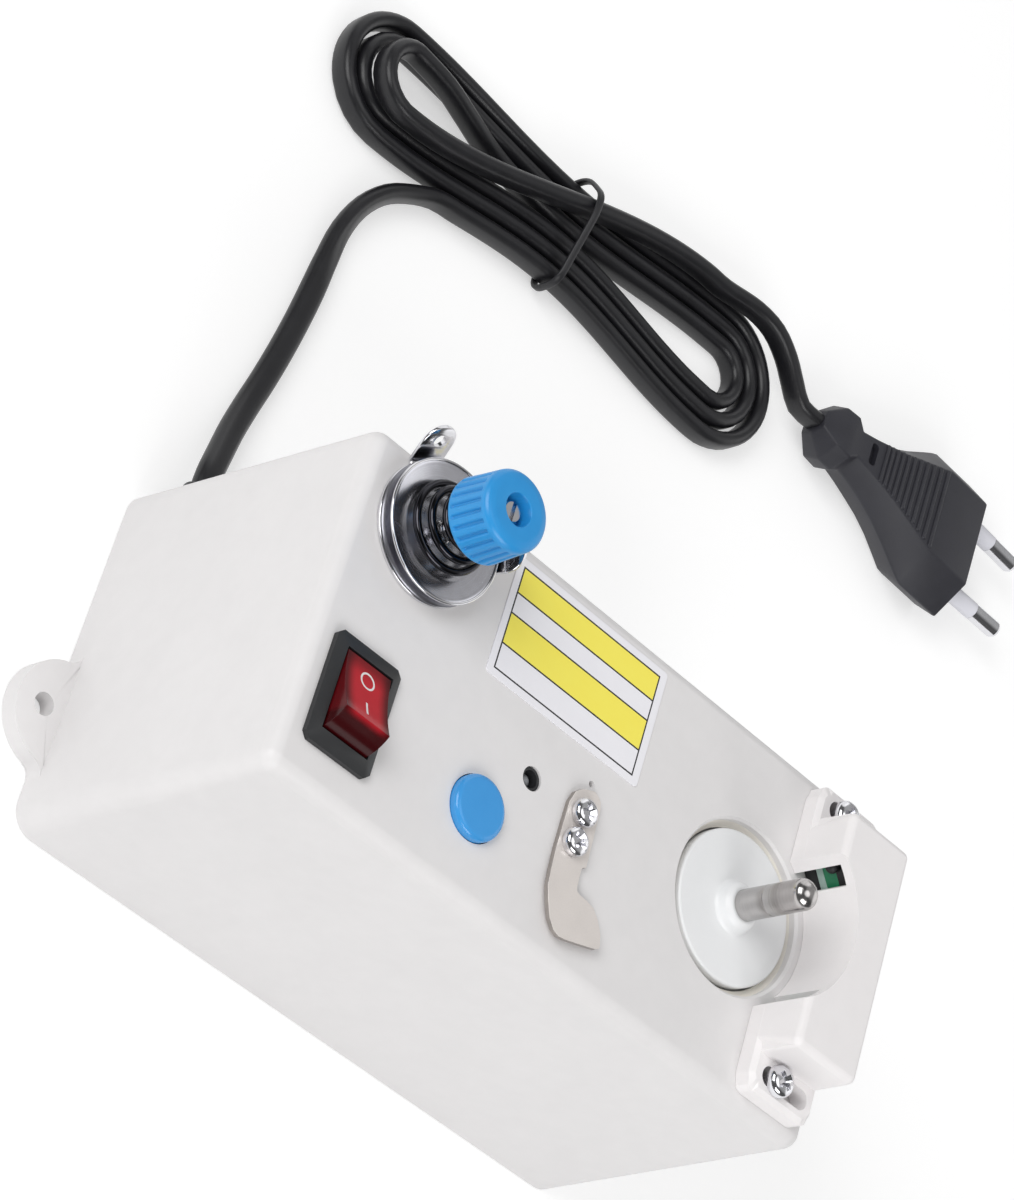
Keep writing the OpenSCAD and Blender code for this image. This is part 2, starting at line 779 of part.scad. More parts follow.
module control_board() {
    color(board_green)
        translate([board_x, board_y, board_top - board_t])
            board_plate(board_len, board_wid);
}

module board_screws() {
    color(chrome_grey)
        translate([board_x, board_y, board_top - board_t - seat_gap])
            at_corners(board_len / 2 - board_hole_in, board_wid / 2 - board_hole_in)
                mirror([0, 0, 1])
                    pan_screw(small_screw_d, board_t + board_bite, small_head_d, small_head_h);
}

// Indicator on two wires, its dome in the well of the control face
module indicator_led() {
    dome_z = top_z - led_drop - led_r;
    color([0.9, 0.93, 0.95])
        translate([led_x, led_y, 0]) {
            translate([0, 0, dome_z])
                sphere(led_r);
            translate([0, 0, dome_z - led_flange])
                cylinder(r = led_r, h = led_flange);
            translate([0, 0, dome_z - led_flange - 1])
                cylinder(r = led_r + 0.4, h = 1);
            for (side = [-1, 1])
                translate([side * 1.2 - lead_wire / 2, -lead_wire / 2, board_top])
                    cube([lead_wire, lead_wire, dome_z - led_flange - 1 + eps - board_top]);
        }
}

module button_switch() {
    color(bezel_black)
        translate([button_x, button_y, board_top])
            difference() {
                translate([-push_switch_size / 2, -push_switch_size / 2, 0])
                    cube([push_switch_size, push_switch_size, push_switch_h]);
                translate([0, 0, 0.6])
                    cylinder(r = button_stem_r + run_gap, h = push_switch_h);
            }
}

// Button with a collar behind the control face and a stem in the push switch
module start_button() {
    r = button_d / 2;
    collar_top = under_z - seat_gap;
    stem_foot = board_top + push_switch_h - stem_reach;
    head = top_z + button_rise;
    color(knob_blue)
        translate([button_x, button_y, 0])
            rotate_extrude()
                polygon([[0, stem_foot], [button_stem_r, stem_foot],
                    [button_stem_r, collar_top - button_flange_t],
                    [r + button_flange, collar_top - button_flange_t], [r + button_flange, collar_top],
                    [r, collar_top], [r, head - 0.7], [r - 0.15, head - 0.3], [r - 0.6, head], [0, head]]);
}

module power_board() {
    color(board_green)
        translate([power_x, 0, base_t + power_rise])
            board_plate(power_len, power_wid);
}

module transformer() {
    base = base_t + power_rise + board_t;
    color(dark_steel)
        translate([power_x + coil_place.x, coil_place.y, base]) {
            translate([-coil_size.x / 2, -coil_size.y / 2, 0])
                cube(coil_size);
            translate([-coil_size.x / 2 + 3, -coil_size.y / 2 - 2, 3])
                cube([coil_size.x - 6, coil_size.y + 4, coil_size.z - 6]);
        }
}

module filter_capacitor() {
    color(bezel_black)
        translate([power_x - 10, -9, base_t + power_rise + board_t])
            cylinder(d = capacitor_d, h = capacitor_h);
}

// Spacers and screws that hold the power board on the base plate
module power_screws() {
    color(brass_yellow)
        translate([power_x, 0, base_t])
            at_corners(power_len / 2 - board_hole_in, power_wid / 2 - board_hole_in) {
                cylinder(r = boss_r, h = power_rise);
                cylinder(d = clear_hole_d - 2 * run_gap, h = power_rise + board_t + eps);
                translate([0, 0, power_rise + board_t])
                    cylinder(d = small_head_d, h = small_head_h);
            }
}

// Switch body with its bezel, a pocket for the rocker and holes for the rocker's pins
module switch_body() {
    pocket_floor = rocker_pivot_z - rocker_r - free_gap;
    color(bezel_black)
        translate([switch_x, switch_at_y, 0])
            difference() {
                union() {
                    translate([0, 0, top_z])
                        linear_extrude(bezel_t)
                            difference() {
                                square([bezel_wid, bezel_len], center = true);
                                for (sx = [-1, 1], sy = [-1, 1])
                                    translate([sx * bezel_wid / 2, sy * bezel_len / 2])
                                        rotate(45)
                                            square(bezel_corner * sqrt(2), center = true);
                            }
                    translate([0, 0, top_z - switch_depth / 2 + eps])
                        cube([cut_wid - 2 * switch_gap, cut_len - 2 * switch_gap, switch_depth],
                            center = true);
                }
                translate([-switch_pocket.x / 2, -switch_pocket.y / 2, pocket_floor])
                    cube([switch_pocket.x, switch_pocket.y, switch_depth]);
                translate([0, 0, rocker_pivot_z])
                    rotate([0, 90, 0])
                        cylinder(r = rocker_pin_r + run_gap,
                            h = rocker_wid + 2 * rocker_pin_out + 2 * free_gap, center = true);
            }
}

module switch_terminals() {
    color(brass_yellow)
        translate([switch_x, switch_at_y, top_z - switch_depth + eps - terminal.z])
            for (side = [-1, 1])
                translate([-terminal.y / 2, side * terminal_pitch / 2 - terminal.x / 2, 0])
                    cube([terminal.y, terminal.x, terminal.z]);
}

// Rocker: a sector about its pins with a hollowed face, tilted to its off side
module rocker() {
    chord = 2 * rocker_r * sin(rocker_half_span);
    face = rocker_r * cos(rocker_half_span);
    dish_r = (chord * chord / 4 + rocker_sag * rocker_sag) / (2 * rocker_sag);
    color(rocker_red)
        translate([switch_x, switch_at_y, rocker_pivot_z])
            rotate([-rocker_tilt, 0, 0])
                rotate([0, 90, 0]) {
                    difference() {
                        cylinder(r = rocker_r, h = rocker_wid, center = true);
                        translate([-face - dish_r + rocker_sag, 0, 0])
                            cylinder(r = dish_r, h = rocker_wid + cut, center = true, $fn = 128);
                        translate([rocker_foot, -rocker_r - cut, -rocker_wid])
                            cube([rocker_r, 2 * (rocker_r + cut), 2 * rocker_wid]);
                    }
                    cylinder(r = rocker_pin_r, h = rocker_wid + 2 * rocker_pin_out, center = true);
                }
}

// Plan of the guide plate's flat, with a foot for each tongue
module guide_plan() {
    difference() {
        union() {
            circle(plate_d / 2);
            for (angle = [eyelet_angle, tab_angle])
                rotate(angle)
                    translate([0, -ear_wid / 2 - tongue_step])
                        square([ear_foot_r + plate_t, ear_wid + 2 * tongue_step]);
        }
        circle(post_d / 2 + run_gap);
    }
}

// A tongue of the same sheet, bent up from its foot and leaning out, with a round tip
module tongue(angle, tall, lean, hole_up, hole_r) {
    r = ear_wid / 2;
    rotate(angle)
        translate([ear_foot_r, 0, 0])
            rotate([0, lean, 0])
                translate([-plate_t, 0, 0])
                    rotate([90, 0, 90])
                        linear_extrude(plate_t)
                            difference() {
                                intersection() {
                                    union() {
                                        translate([0, tall - r])
                                            circle(r);
                                        translate([-r, 0])
                                            square([ear_wid, tall - r]);
                                    }
                                    translate([-r - cut, plate_t / 3])
                                        square([ear_wid + 2 * cut, tall]);
                                }
                                if (hole_r > 0)
                                    translate([0, hole_up])
                                        circle(hole_r);
                            }
}

module guide_plate() {
    color(chrome_grey)
        translate([post_x, post_at_y, top_z]) {
            linear_extrude(plate_t)
                guide_plan();
            tongue(eyelet_angle, ear_tall, ear_lean, eyelet_up, eyelet_r);
            tongue(tab_angle, tab_tall, tab_lean, 0, 0);
        }
}

// Post with a collar on the guide plate and a slotted end
module tension_post() {
    head = seat_rise + seat_t + knob_h - post_short;
    collar_foot = plate_t + seat_gap;
    collar_head = disc_floor - seat_gap;
    color(chrome_grey)
        translate([post_x, post_at_y, top_z])
            difference() {
                union() {
                    translate([0, 0, -top_wall - post_under])
                        cylinder(d = post_d, h = top_wall + post_under + head);
                    translate([0, 0, collar_foot])
                        cylinder(r = collar_r, h = collar_head - collar_foot);
                }
                translate([-post_slot / 2, -post_d, head - slot_depth])
                    cube([post_slot, 2 * post_d, slot_depth + cut]);
            }
}

module post_nut() {
    color(chrome_grey)
        translate([post_x, post_at_y, under_z - nut_drop])
            difference() {
                union() {
                    translate([0, 0, -nut_h])
                        cylinder(r = nut_r, h = nut_h, $fn = 6);
                    cylinder(r = nut_r + 0.8, h = nut_drop - seat_gap);
                }
                translate([0, 0, -nut_h - cut])
                    cylinder(r = post_d / 2 + run_gap, h = nut_h + nut_drop + 2 * cut);
            }
}

// A dished tension disc with its flat at the origin and its rim flared up
module dished_disc() {
    bore = post_d / 2 + run_gap;
    rim = plate_d / 2;
    rotate_extrude()
        polygon([[bore, 0], [disc_flat_r, 0], [rim, disc_flare], [rim, disc_flare + disc_sheet],
            [rim - 0.3, disc_flare + disc_sheet], [disc_flat_r - 0.2, disc_sheet], [bore, disc_sheet]]);
}

module lower_disc() {
    color(chrome_grey)
        translate([post_x, post_at_y, top_z + disc_floor + disc_sheet])
            mirror([0, 0, 1])
                dished_disc();
}

module upper_disc() {
    color(dark_steel)
        translate([post_x, post_at_y, top_z + disc_floor + disc_sheet + seat_gap])
            dished_disc();
}

module tension_spring() {
    color(dark_steel)
        skin(swept(spring_path, spring_section));
}

module spring_seat() {
    color(chrome_grey)
        translate([post_x, post_at_y, top_z + seat_rise])
            difference() {
                cylinder(r = seat_r, h = seat_t);
                translate([0, 0, -cut])
                    cylinder(r = post_d / 2 + run_gap, h = seat_t + 2 * cut);
            }
}

// Knob with a grooved skirt, a round shoulder and a well over the post's end
module tension_knob() {
    r = knob_d / 2;
    skirt = knob_h * knob_shoulder;
    bore = post_d / 2 + run_gap;
    color(knob_blue)
        translate([post_x, post_at_y, top_z + seat_rise + seat_t + seat_gap])
            difference() {
                rotate_extrude()
                    polygon([[bore, 0], [r - 0.3, 0], [r, 0.3], [r - 0.2, skirt], [r - 0.5, knob_h - 1.5],
                        [r - 0.9, knob_h - 0.7], [r - 1.6, knob_h - 0.15], [r - 2.3, knob_h],
                        [knob_well_r + 0.3, knob_h], [knob_well_r, knob_h - 0.3],
                        [knob_well_r, knob_h - knob_well_depth], [bore, knob_h - knob_well_depth]]);
                for (i = [0 : knob_grooves - 1])
                    rotate(360 * i / knob_grooves)
                        translate([r, 0, groove_foot])
                            cylinder(r = groove_r, h = skirt - 2 * groove_foot, $fn = 16);
            }
}

// Plan of the cutter blade about its upper screw, with the hooked end at its foot
module blade_plan() {
    polygon(blade_outline);
}

// The sheet from the side: flat under the screws, then bent up along a line
module blade_side() {
    rise = blade_run * tan(blade_bend);
    polygon([[blade_run, 0], [bend_y, 0], [bend_y - blade_run, rise],
        [bend_y - blade_run, rise + blade_t], [bend_y, blade_t], [blade_run, blade_t]]);
}

module blade_screw_places() {
    for (i = [0, 1])
        translate([blade_x - 0.25 * i, blade_y - blade_pitch * i, top_z + blade_t])
            children();
}

module cutter_blade() {
    color([0.82, 0.78, 0.75])
        translate([blade_x, blade_y, top_z])
            difference() {
                intersection() {
                    linear_extrude(blade_stock_h)
                        blade_plan();
                    rotate([90, 0, 90])
                        linear_extrude(2 * blade_run, center = true)
                            blade_side();
                }
                for (i = [0, 1])
                    translate([-0.25 * i, -blade_pitch * i, -cut])
                        cylinder(d = clear_hole_d, h = blade_t + 2 * cut);
            }
}

module blade_screws() {
    color(chrome_grey)
        blade_screw_places()
            translate([0, 0, seat_gap])
                pan_screw(small_screw_d, blade_t + top_wall + 3, blade_head_d, blade_head_h);
}

// Sliding housing: a tall block on two slotted lugs, hollowed round the spindle
module sensor_housing() {
    foot = top_z + slide_gap;
    color(shell_white)
        difference() {
            union() {
                hull() {
                    translate([hood_mid, 0, foot])
                        at_corners(hood_len / 2 - hood_edge, hood_wid / 2 - hood_edge)
                            cylinder(r = hood_edge, h = 1, $fn = 32);
                    translate([hood_mid, 0, hood_top - hood_edge])
                        at_corners(hood_len / 2 - hood_edge - 0.2, hood_wid / 2 - hood_edge - 0.2)
                            sphere(hood_edge, $fn = 32);
                }
                hull()
                    translate([hood_mid, 0, foot])
                        at_corners(hood_len / 2 - lug_corner, hood_wid / 2 + lug_reach - lug_corner) {
                            cylinder(r = lug_corner, h = lug_h - lug_edge - slide_gap, $fn = 32);
                            cylinder(r = lug_corner - lug_edge, h = lug_h - slide_gap, $fn = 32);
                        }
            }
            translate([spindle_x, 0, top_z - cut])
                cylinder(r = hollow_r, h = hood_h + 2 * cut);
            for (side = [-1, 1]) {
                translate([hood_mid + slot_ahead, side * lug_y, top_z - cut])
                    linear_extrude(lug_h + 2 * cut)
                        slot_shape(slot_len, slot_wid);
                translate([hood_x + window_in, side > 0 ? 0 : -pocket_y(), top_z - cut])
                    cube([window_wid, pocket_y(), hood_h - window_roof + cut]);
            }
            difference() {
                translate([hood_x + pocket_in, -hood_wid / 2 + 2, top_z - cut])
                    cube([pocket_len, hood_wid - 4, hood_h - pocket_roof + cut]);
                translate([spindle_x, 0, top_z - 2 * cut])
                    cylinder(r = hollow_r + hollow_wall, h = hood_h + 3 * cut);
            }
        }
}

// Middle of the pocket behind a beam window
function pocket_y() = hood_wid / 2 - 2 - pocket_wid / 2;
beam_x = hood_x + window_in + window_wid / 2;
board_face = pocket_y() - pocket_wid / 2 + 1.2;

module sensor_boards() {
    color(board_green)
        for (side = [0, 1])
            mirror([0, side, 0])
                translate([hood_x + pocket_in + seat_gap, board_face, hood_top - pocket_roof - seat_gap])
                    mirror([0, 0, 1])
                        cube([pocket_len - 2 * seat_gap, hood_board_t, hood_board_h]);
}

module beam_eye() {
    translate([beam_x, board_face - eye_len, top_z + beam_rise])
        rotate([-90, 0, 0])
            cylinder(r = eye_r, h = eye_len);
    translate([beam_x, board_face - eye_len, top_z + beam_rise])
        sphere(eye_r);
}

module sensor_emitter() {
    color([0.85, 0.87, 0.9])
        mirror([0, 1, 0])
            beam_eye();
}

module sensor_receiver() {
    color([0.2, 0.2, 0.22])
        beam_eye();
}

module housing_screws() {
    color(chrome_grey)
        for (side = [-1, 1])
            translate([hood_screw_x, side * lug_y, top_z + lug_h + seat_gap])
                pan_screw(hood_screw_d, lug_h + top_wall + 6, hood_head_d, hood_head_h);
}

// Grommet with a tapered strain relief outside the wall
module cord_grommet() {
    wide = 2 * grommet_half.x;
    tall = 2 * grommet_half.y;
    face = body_wid / 2 + seat_gap;
    color(cord_black)
        translate([exit_x, face, exit_z])
            rotate([-90, 0, 0]) {
                translate([0, 0, -wall - grommet_in])
                    linear_extrude(wall + grommet_in + eps)
                        slot_shape(wide, tall);
                linear_extrude(grommet_flange_t)
                    slot_shape(wide + 2 * grommet_flange, tall + 2 * grommet_flange);
                translate([0, 0, grommet_flange_t - eps])
                    linear_extrude(grommet_out - seat_gap + eps, scale = grommet_tip)
                        slot_shape(wide, tall);
            }
}

module cord_lead() {
    color(cord_black)
        skin(swept(lead_path, flat_section(8)));
}

module cord_hank() {
    color(cord_black)
        skin(swept(hank_path, hank_section));
}

// Tie round the waist of the hank
module tie_form(grow) {
    foot = tie_t;
    low = foot + cord_wid + waist_lift;
    near = hank_r - hank_waist + cord_t / 2;
    far = hank_r - hank_waist - hank_step / 2 + cord_t / 2;
    high = waist_lift + layer_step + cord_wid + free_gap;
    crest = cross_point(hank_half / (cross_end.x + hank_half)).y - hank_centre.y;
    hull() {
        translate([-near - free_gap + 0.7, foot + 0.7])
            circle(0.7 + grow, $fn = 32);
        translate([far + free_gap - 0.7, foot + 0.7])
            circle(0.7 + grow, $fn = 32);
        translate([-near - free_gap + 0.7, low - 0.4])
            circle(0.7 + grow, $fn = 32);
        translate([far + free_gap - 0.7, low - 0.4])
            circle(0.7 + grow, $fn = 32);
        for (side = [-1, 1])
            translate([crest + side * (cord_t / 2 + 0.2), high - 0.7])
                circle(0.7 + grow, $fn = 32);
    }
}

module cord_tie() {
    color(cord_black)
        translate([hank_centre.x, hank_centre.y, 0])
            rotate([90, 0, 90])
                linear_extrude(tie_wid, center = true)
                    difference() {
                        tie_form(tie_t);
                        tie_form(0);
                    }
}

// Pieces of the plug lie along its own axis from its cord end
module at_plug() {
    translate(plug_place)
        rotate(plug_turn)
            children();
}

module plug_body() {
    rings = [for (s = plug_sections)
        [[s[0], s[1], 0], [s[0], s[2], s[3]], [s[0], -s[2], s[3]],
            [s[0], -s[1], 0], [s[0], -s[2], -s[3]], [s[0], s[2], -s[3]]]];
    color(cord_black)
        at_plug()
            skin(rings);
}

module at_pins() {
    at_plug()
        for (side = [-1, 1])
            translate([plug_len, side * pin_pitch / 2, 0])
                rotate([0, 90, -side * pin_toe])
                    children();
}

module pin_sleeves() {
    color(sleeve_grey)
        at_pins()
            translate([0, 0, 0.1])
                difference() {
                    cylinder(r = pin_r, h = sleeve_len - 0.1);
                    translate([0, 0, -cut])
                        cylinder(r = pin_core_r + run_gap, h = sleeve_len + 2 * cut);
                }
}

module plug_pins() {
    color(chrome_grey)
        at_pins()
            rotate_extrude()
                polygon([[0, 0.1], [pin_core_r, 0.1], [pin_core_r, sleeve_len + seat_gap],
                    [pin_r, sleeve_len + seat_gap], [pin_r, pin_len - 1.2], [pin_r - 0.4, pin_len - 0.4],
                    [pin_r - 1.2, pin_len], [0, pin_len]]);
}

top_case();
base_plate();
base_screws();
label_sticker();
motor();
motor_shaft();
motor_bracket();
bracket_screws();
motor_screws();
spindle();
spindle_disc();
control_board();
board_screws();
indicator_led();
button_switch();
start_button();
power_board();
transformer();
filter_capacitor();
power_screws();
switch_body();
switch_terminals();
rocker();
guide_plate();
tension_post();
post_nut();
lower_disc();
upper_disc();
tension_spring();
spring_seat();
tension_knob();
cutter_blade();
blade_screws();
sensor_housing();
sensor_boards();
sensor_emitter();
sensor_receiver();
housing_screws();
cord_grommet();
cord_lead();
cord_hank();
cord_tie();
plug_body();
pin_sleeves();
plug_pins();
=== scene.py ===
from math import atan2, ceil, copysign, cos, floor, pi, radians, sin, sqrt, tau

import bmesh
import bpy
from mathutils import Matrix, Vector


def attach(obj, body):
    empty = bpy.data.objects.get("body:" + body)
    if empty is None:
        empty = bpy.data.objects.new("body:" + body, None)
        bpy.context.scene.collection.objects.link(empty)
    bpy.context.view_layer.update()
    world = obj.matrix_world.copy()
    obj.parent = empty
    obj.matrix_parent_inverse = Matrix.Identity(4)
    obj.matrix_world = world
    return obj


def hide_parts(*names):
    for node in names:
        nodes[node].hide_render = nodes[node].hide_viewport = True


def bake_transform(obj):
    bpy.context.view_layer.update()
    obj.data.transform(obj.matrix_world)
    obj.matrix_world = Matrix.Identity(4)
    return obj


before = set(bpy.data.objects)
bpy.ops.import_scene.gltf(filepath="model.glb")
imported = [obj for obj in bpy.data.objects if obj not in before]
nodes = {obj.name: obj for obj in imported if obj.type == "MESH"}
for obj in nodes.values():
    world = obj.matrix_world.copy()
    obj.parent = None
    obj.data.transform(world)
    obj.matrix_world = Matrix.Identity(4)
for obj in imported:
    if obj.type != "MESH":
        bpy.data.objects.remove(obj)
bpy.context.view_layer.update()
scene = bpy.context.scene
ops = bmesh.ops
MM = 0.001

# Main places of the object in millimetres, as in the part's own frame
TOP_Z = 63.0
SPINDLE = (38.5, 0.0)
POST = (-51.3, 21.5)
SWITCH = (-56.35, -15.5)
BUTTON = (-25.0, -16.9)
LAMP = (-15.1, -5.1)


def point(x, y, z):
    return Vector((x, y, z)) * MM


def arc_angles(turn, count, first, last):
    """Some of the angles that part a turn into equal steps."""
    return [turn * k / count for k in range(first, last + 1)]


# Shader helpers

def feed(tree, node, values):
    """Sets a node's inputs, or links them to other nodes' outputs."""
    for key, value in values.items():
        if isinstance(value, bpy.types.NodeSocket):
            tree.links.new(value, node.inputs[key])
        else:
            node.inputs[key].default_value = value


def put(tree, kind, inputs=None, **settings):
    """A new node with its settings made and its inputs fed."""
    node = tree.nodes.new(kind)
    for key, value in settings.items():
        setattr(node, key, value)
    feed(tree, node, inputs or {})
    return node


def maths(tree, operation, *values, **settings):
    return put(tree, "ShaderNodeMath", dict(enumerate(values)), operation=operation, **settings).outputs[0]


def vector_maths(tree, operation, *values):
    return put(tree, "ShaderNodeVectorMath", dict(enumerate(values)), operation=operation).outputs


def mean(tree, first, second):
    return maths(tree, "MULTIPLY", maths(tree, "ADD", first, second), 0.5)


def noise(tree, place, scale, detail, **more):
    return put(tree, "ShaderNodeTexNoise", {"Vector": place, "Scale": scale, "Detail": detail, **more}).outputs["Fac"]


def ramp(tree, value, low, high, first, last, **settings):
    """A value from the first to the last while another one runs from low to high."""
    spans = {"Value": value, "From Min": low, "From Max": high, "To Min": first, "To Max": last}
    return put(tree, "ShaderNodeMapRange", spans, **settings).outputs[0]


def mixed(tree, share, first, second):
    return put(tree, "ShaderNodeMix", {"Factor": share, 6: first, 7: second}, data_type="RGBA").outputs[2]


def colour(*levels):
    """An sRGB colour in 0 to 255 as the linear colour that a shader takes."""
    shares = (level / 255 for level in levels)
    return (*(c / 12.92 if c <= 0.04045 else ((c + 0.055) / 1.055) ** 2.4 for c in shares), 1.0)


def tinted(tree, tone, dark, light):
    """A colour between two sRGB colours."""
    return mixed(tree, tone, colour(*dark), colour(*light))


def object_place(tree):
    return put(tree, "ShaderNodeTexCoord").outputs["Object"]


# Shared effects

def shader_group(name, inputs, outputs):
    group = bpy.data.node_groups.new(name, "ShaderNodeTree")
    for label, value in inputs.items():
        kind = "NodeSocketVector" if isinstance(value, tuple) else "NodeSocketFloat"
        socket = group.interface.new_socket(name=label, in_out="INPUT", socket_type=kind)
        socket.default_value = value
    for label in outputs:
        group.interface.new_socket(name=label, in_out="OUTPUT", socket_type="NodeSocketFloat")
    return group, group.nodes.new("NodeGroupInput").outputs, group.nodes.new("NodeGroupOutput")


def patchy_gloss(group, given, tone):
    """The given roughness, with a tone that makes it stray by the given spread."""
    stray = maths(group, "SUBTRACT", tone, 0.5)
    return maths(group, "MULTIPLY_ADD", stray, given["Spread"], given["Roughness"])


def moulded_skin():
    """Cloudy tone, patchy gloss and fine grain of a moulded plastic."""
    group, given, out = shader_group(
        "moulded_skin", {"Grain Scale": 2600.0, "Cloud Scale": 60.0, "Roughness": 0.4, "Spread": 0.12},
        ["Tone", "Roughness", "Height"])
    place = object_place(group)
    cloud = noise(group, place, given["Cloud Scale"], detail=4.0)
    grain = noise(group, place, given["Grain Scale"], detail=3.0)
    smear = noise(group, place, scale=240.0, detail=5.0, Roughness=0.65)
    feed(group, out, {"Tone": mean(group, cloud, smear), "Roughness": patchy_gloss(group, given, smear),
                      "Height": grain})
    return group


def turned_rings():
    """Fine rings about an upright axis, as a lathe or a polishing wheel leaves them."""
    group, given, out = shader_group(
        "turned_rings", {"Centre": (0.0, 0.0, 0.0), "Ring Scale": 3200.0, "Roughness": 0.22, "Spread": 0.16},
        ["Tone", "Roughness", "Height"])
    place = object_place(group)
    away = vector_maths(group, "SUBTRACT", place, given["Centre"])[0]
    flat = vector_maths(group, "MULTIPLY", away, (1.0, 1.0, 0.0))[0]
    radius = vector_maths(group, "LENGTH", flat)["Value"]
    height = put(group, "ShaderNodeSeparateXYZ", {0: away}).outputs["Z"]
    line = put(group, "ShaderNodeCombineXYZ", {"X": radius, "Y": height}).outputs[0]
    rings = noise(group, line, given["Ring Scale"], detail=2.0)
    tone = mean(group, rings, noise(group, place, scale=320.0, detail=3.0))
    feed(group, out, {"Tone": tone, "Roughness": patchy_gloss(group, given, tone), "Height": rings})
    return group


def scuffs():
    """Sparse fine scratches and handling marks."""
    group, given, out = shader_group("scuffs", {"Scale": 160.0, "Amount": 0.1}, ["Mask"])
    turned = put(group, "ShaderNodeMapping", {"Vector": object_place(group), "Rotation": (0.3, 0.5, 0.9),
                                              "Scale": (0.12, 1.6, 0.9)}).outputs[0]
    lines = noise(group, turned, given["Scale"], detail=6.0, Roughness=0.7)
    low = maths(group, "SUBTRACT", 0.74, given["Amount"])
    feed(group, out, {"Mask": ramp(group, lines, low, 0.78, 0.0, 1.0)})
    return group


SKIN = moulded_skin()
RINGS = turned_rings()
SCUFFS = scuffs()


# Kinds of finish
FINISHES = {}


def material(name):
    """The node tree and the shader of a new finish."""
    made = FINISHES[name] = bpy.data.materials.new(name)
    made.use_nodes = True
    return made.node_tree, made.node_tree.nodes["Principled BSDF"]


def effect(tree, group, **values):
    """The outputs of a shared effect whose inputs are set."""
    node = put(tree, "ShaderNodeGroup", node_tree=group)
    feed(tree, node, {key.replace("_", " "): value for key, value in values.items()})
    return node.outputs


def coat(tree, shader, base, gloss, marks, wear, height, bump, depth):
    """Gives a shader its colour, a gloss dulled by scuff marks and a fine relief."""
    worn = maths(tree, "MULTIPLY_ADD", marks["Mask"], wear, gloss)
    relief = put(tree, "ShaderNodeBump", {"Height": height, "Strength": bump, "Distance": depth}).outputs[0]
    feed(tree, shader, {"Base Color": base, "Roughness": worn, "Normal": relief})


def plastic(name, dark, light, roughness, spread=0.12, bump=0.05, cloud=60.0):
    tree, shader = material(name)
    skin = effect(tree, SKIN, Cloud_Scale=cloud, Roughness=roughness, Spread=spread)
    coat(tree, shader, tinted(tree, skin["Tone"], dark, light), skin["Roughness"], effect(tree, SCUFFS), wear=0.12,
         height=skin["Height"], bump=bump, depth=0.2 * MM)


def turned_metal(name, dark, light, roughness, axis, spread=0.14, bump=0.06):
    tree, shader = material(name)
    lines = effect(tree, RINGS, Centre=point(*axis, 0), Roughness=roughness, Spread=spread)
    marks = effect(tree, SCUFFS, Scale=260.0, Amount=0.12)
    coat(tree, shader, tinted(tree, lines["Tone"], dark, light), lines["Roughness"], marks, wear=0.15,
         height=lines["Height"], bump=bump, depth=0.1 * MM)
    feed(tree, shader, {"Metallic": 1.0})


def sheet_metal(name, dark, light, roughness, grain=900.0, stretch=1.0, metallic=1.0):
    """Rolled or plated sheet, its grain drawn out one way by the stretch."""
    tree, shader = material(name)
    place = object_place(tree)
    along = put(tree, "ShaderNodeMapping", {"Vector": place, "Scale": (1.0, stretch, 1.0)}).outputs[0]
    lines = noise(tree, along, grain, detail=4.0)
    cloud = noise(tree, place, scale=180.0, detail=3.0)
    gloss = ramp(tree, cloud, 0.0, 1.0, roughness - 0.06, roughness + 0.06)
    marks = effect(tree, SCUFFS, Scale=300.0, Amount=0.14)
    coat(tree, shader, tinted(tree, mean(tree, lines, cloud), dark, light), gloss, marks, wear=0.12,
         height=lines, bump=0.05, depth=0.1 * MM)
    feed(tree, shader, {"Metallic": metallic})


def label_finish():
    """Blank sticker: yellow and white bands between thin black rules inside a white border."""
    tree, shader = material("label_print")
    axes = put(tree, "ShaderNodeSeparateXYZ", {0: object_place(tree)}).outputs
    left, right, low, high = (edge * MM for edge in (-30.2, 6.0, 8.2, 28.6))
    rows = [row * MM for row in (13.25, 19.4, 23.5)]
    rule = 0.16 * MM

    def within(axis, first, last, spare=0.0):
        return maths(tree, "COMPARE", axes[axis], (first + last) / 2, (last - first) / 2 + spare)

    def both(a, b):
        return maths(tree, "MULTIPLY", a, b)

    def either(a, b):
        return maths(tree, "MAXIMUM", a, b)

    inside_x, inside_y = within("X", left, right, rule), within("Y", low, high, rule)
    rules = either(*(both(within("X", edge, edge, rule), inside_y) for edge in (left, right)))
    for edge in (low, *rows, high):
        rules = either(rules, both(within("Y", edge, edge, rule), inside_x))
    yellow = both(either(within("Y", rows[2], high), within("Y", rows[0], rows[1])), inside_x)
    skin = effect(tree, SKIN, Cloud_Scale=90.0, Roughness=0.34, Spread=0.14)
    paper = tinted(tree, skin["Tone"], (238, 237, 242), (248, 247, 251))
    ink = tinted(tree, skin["Tone"], (252, 235, 86), (255, 244, 106))
    ruled = mixed(tree, rules, mixed(tree, yellow, paper, ink), colour(40, 40, 42))
    feed(tree, shader, {"Base Color": ruled, "Roughness": skin["Roughness"]})


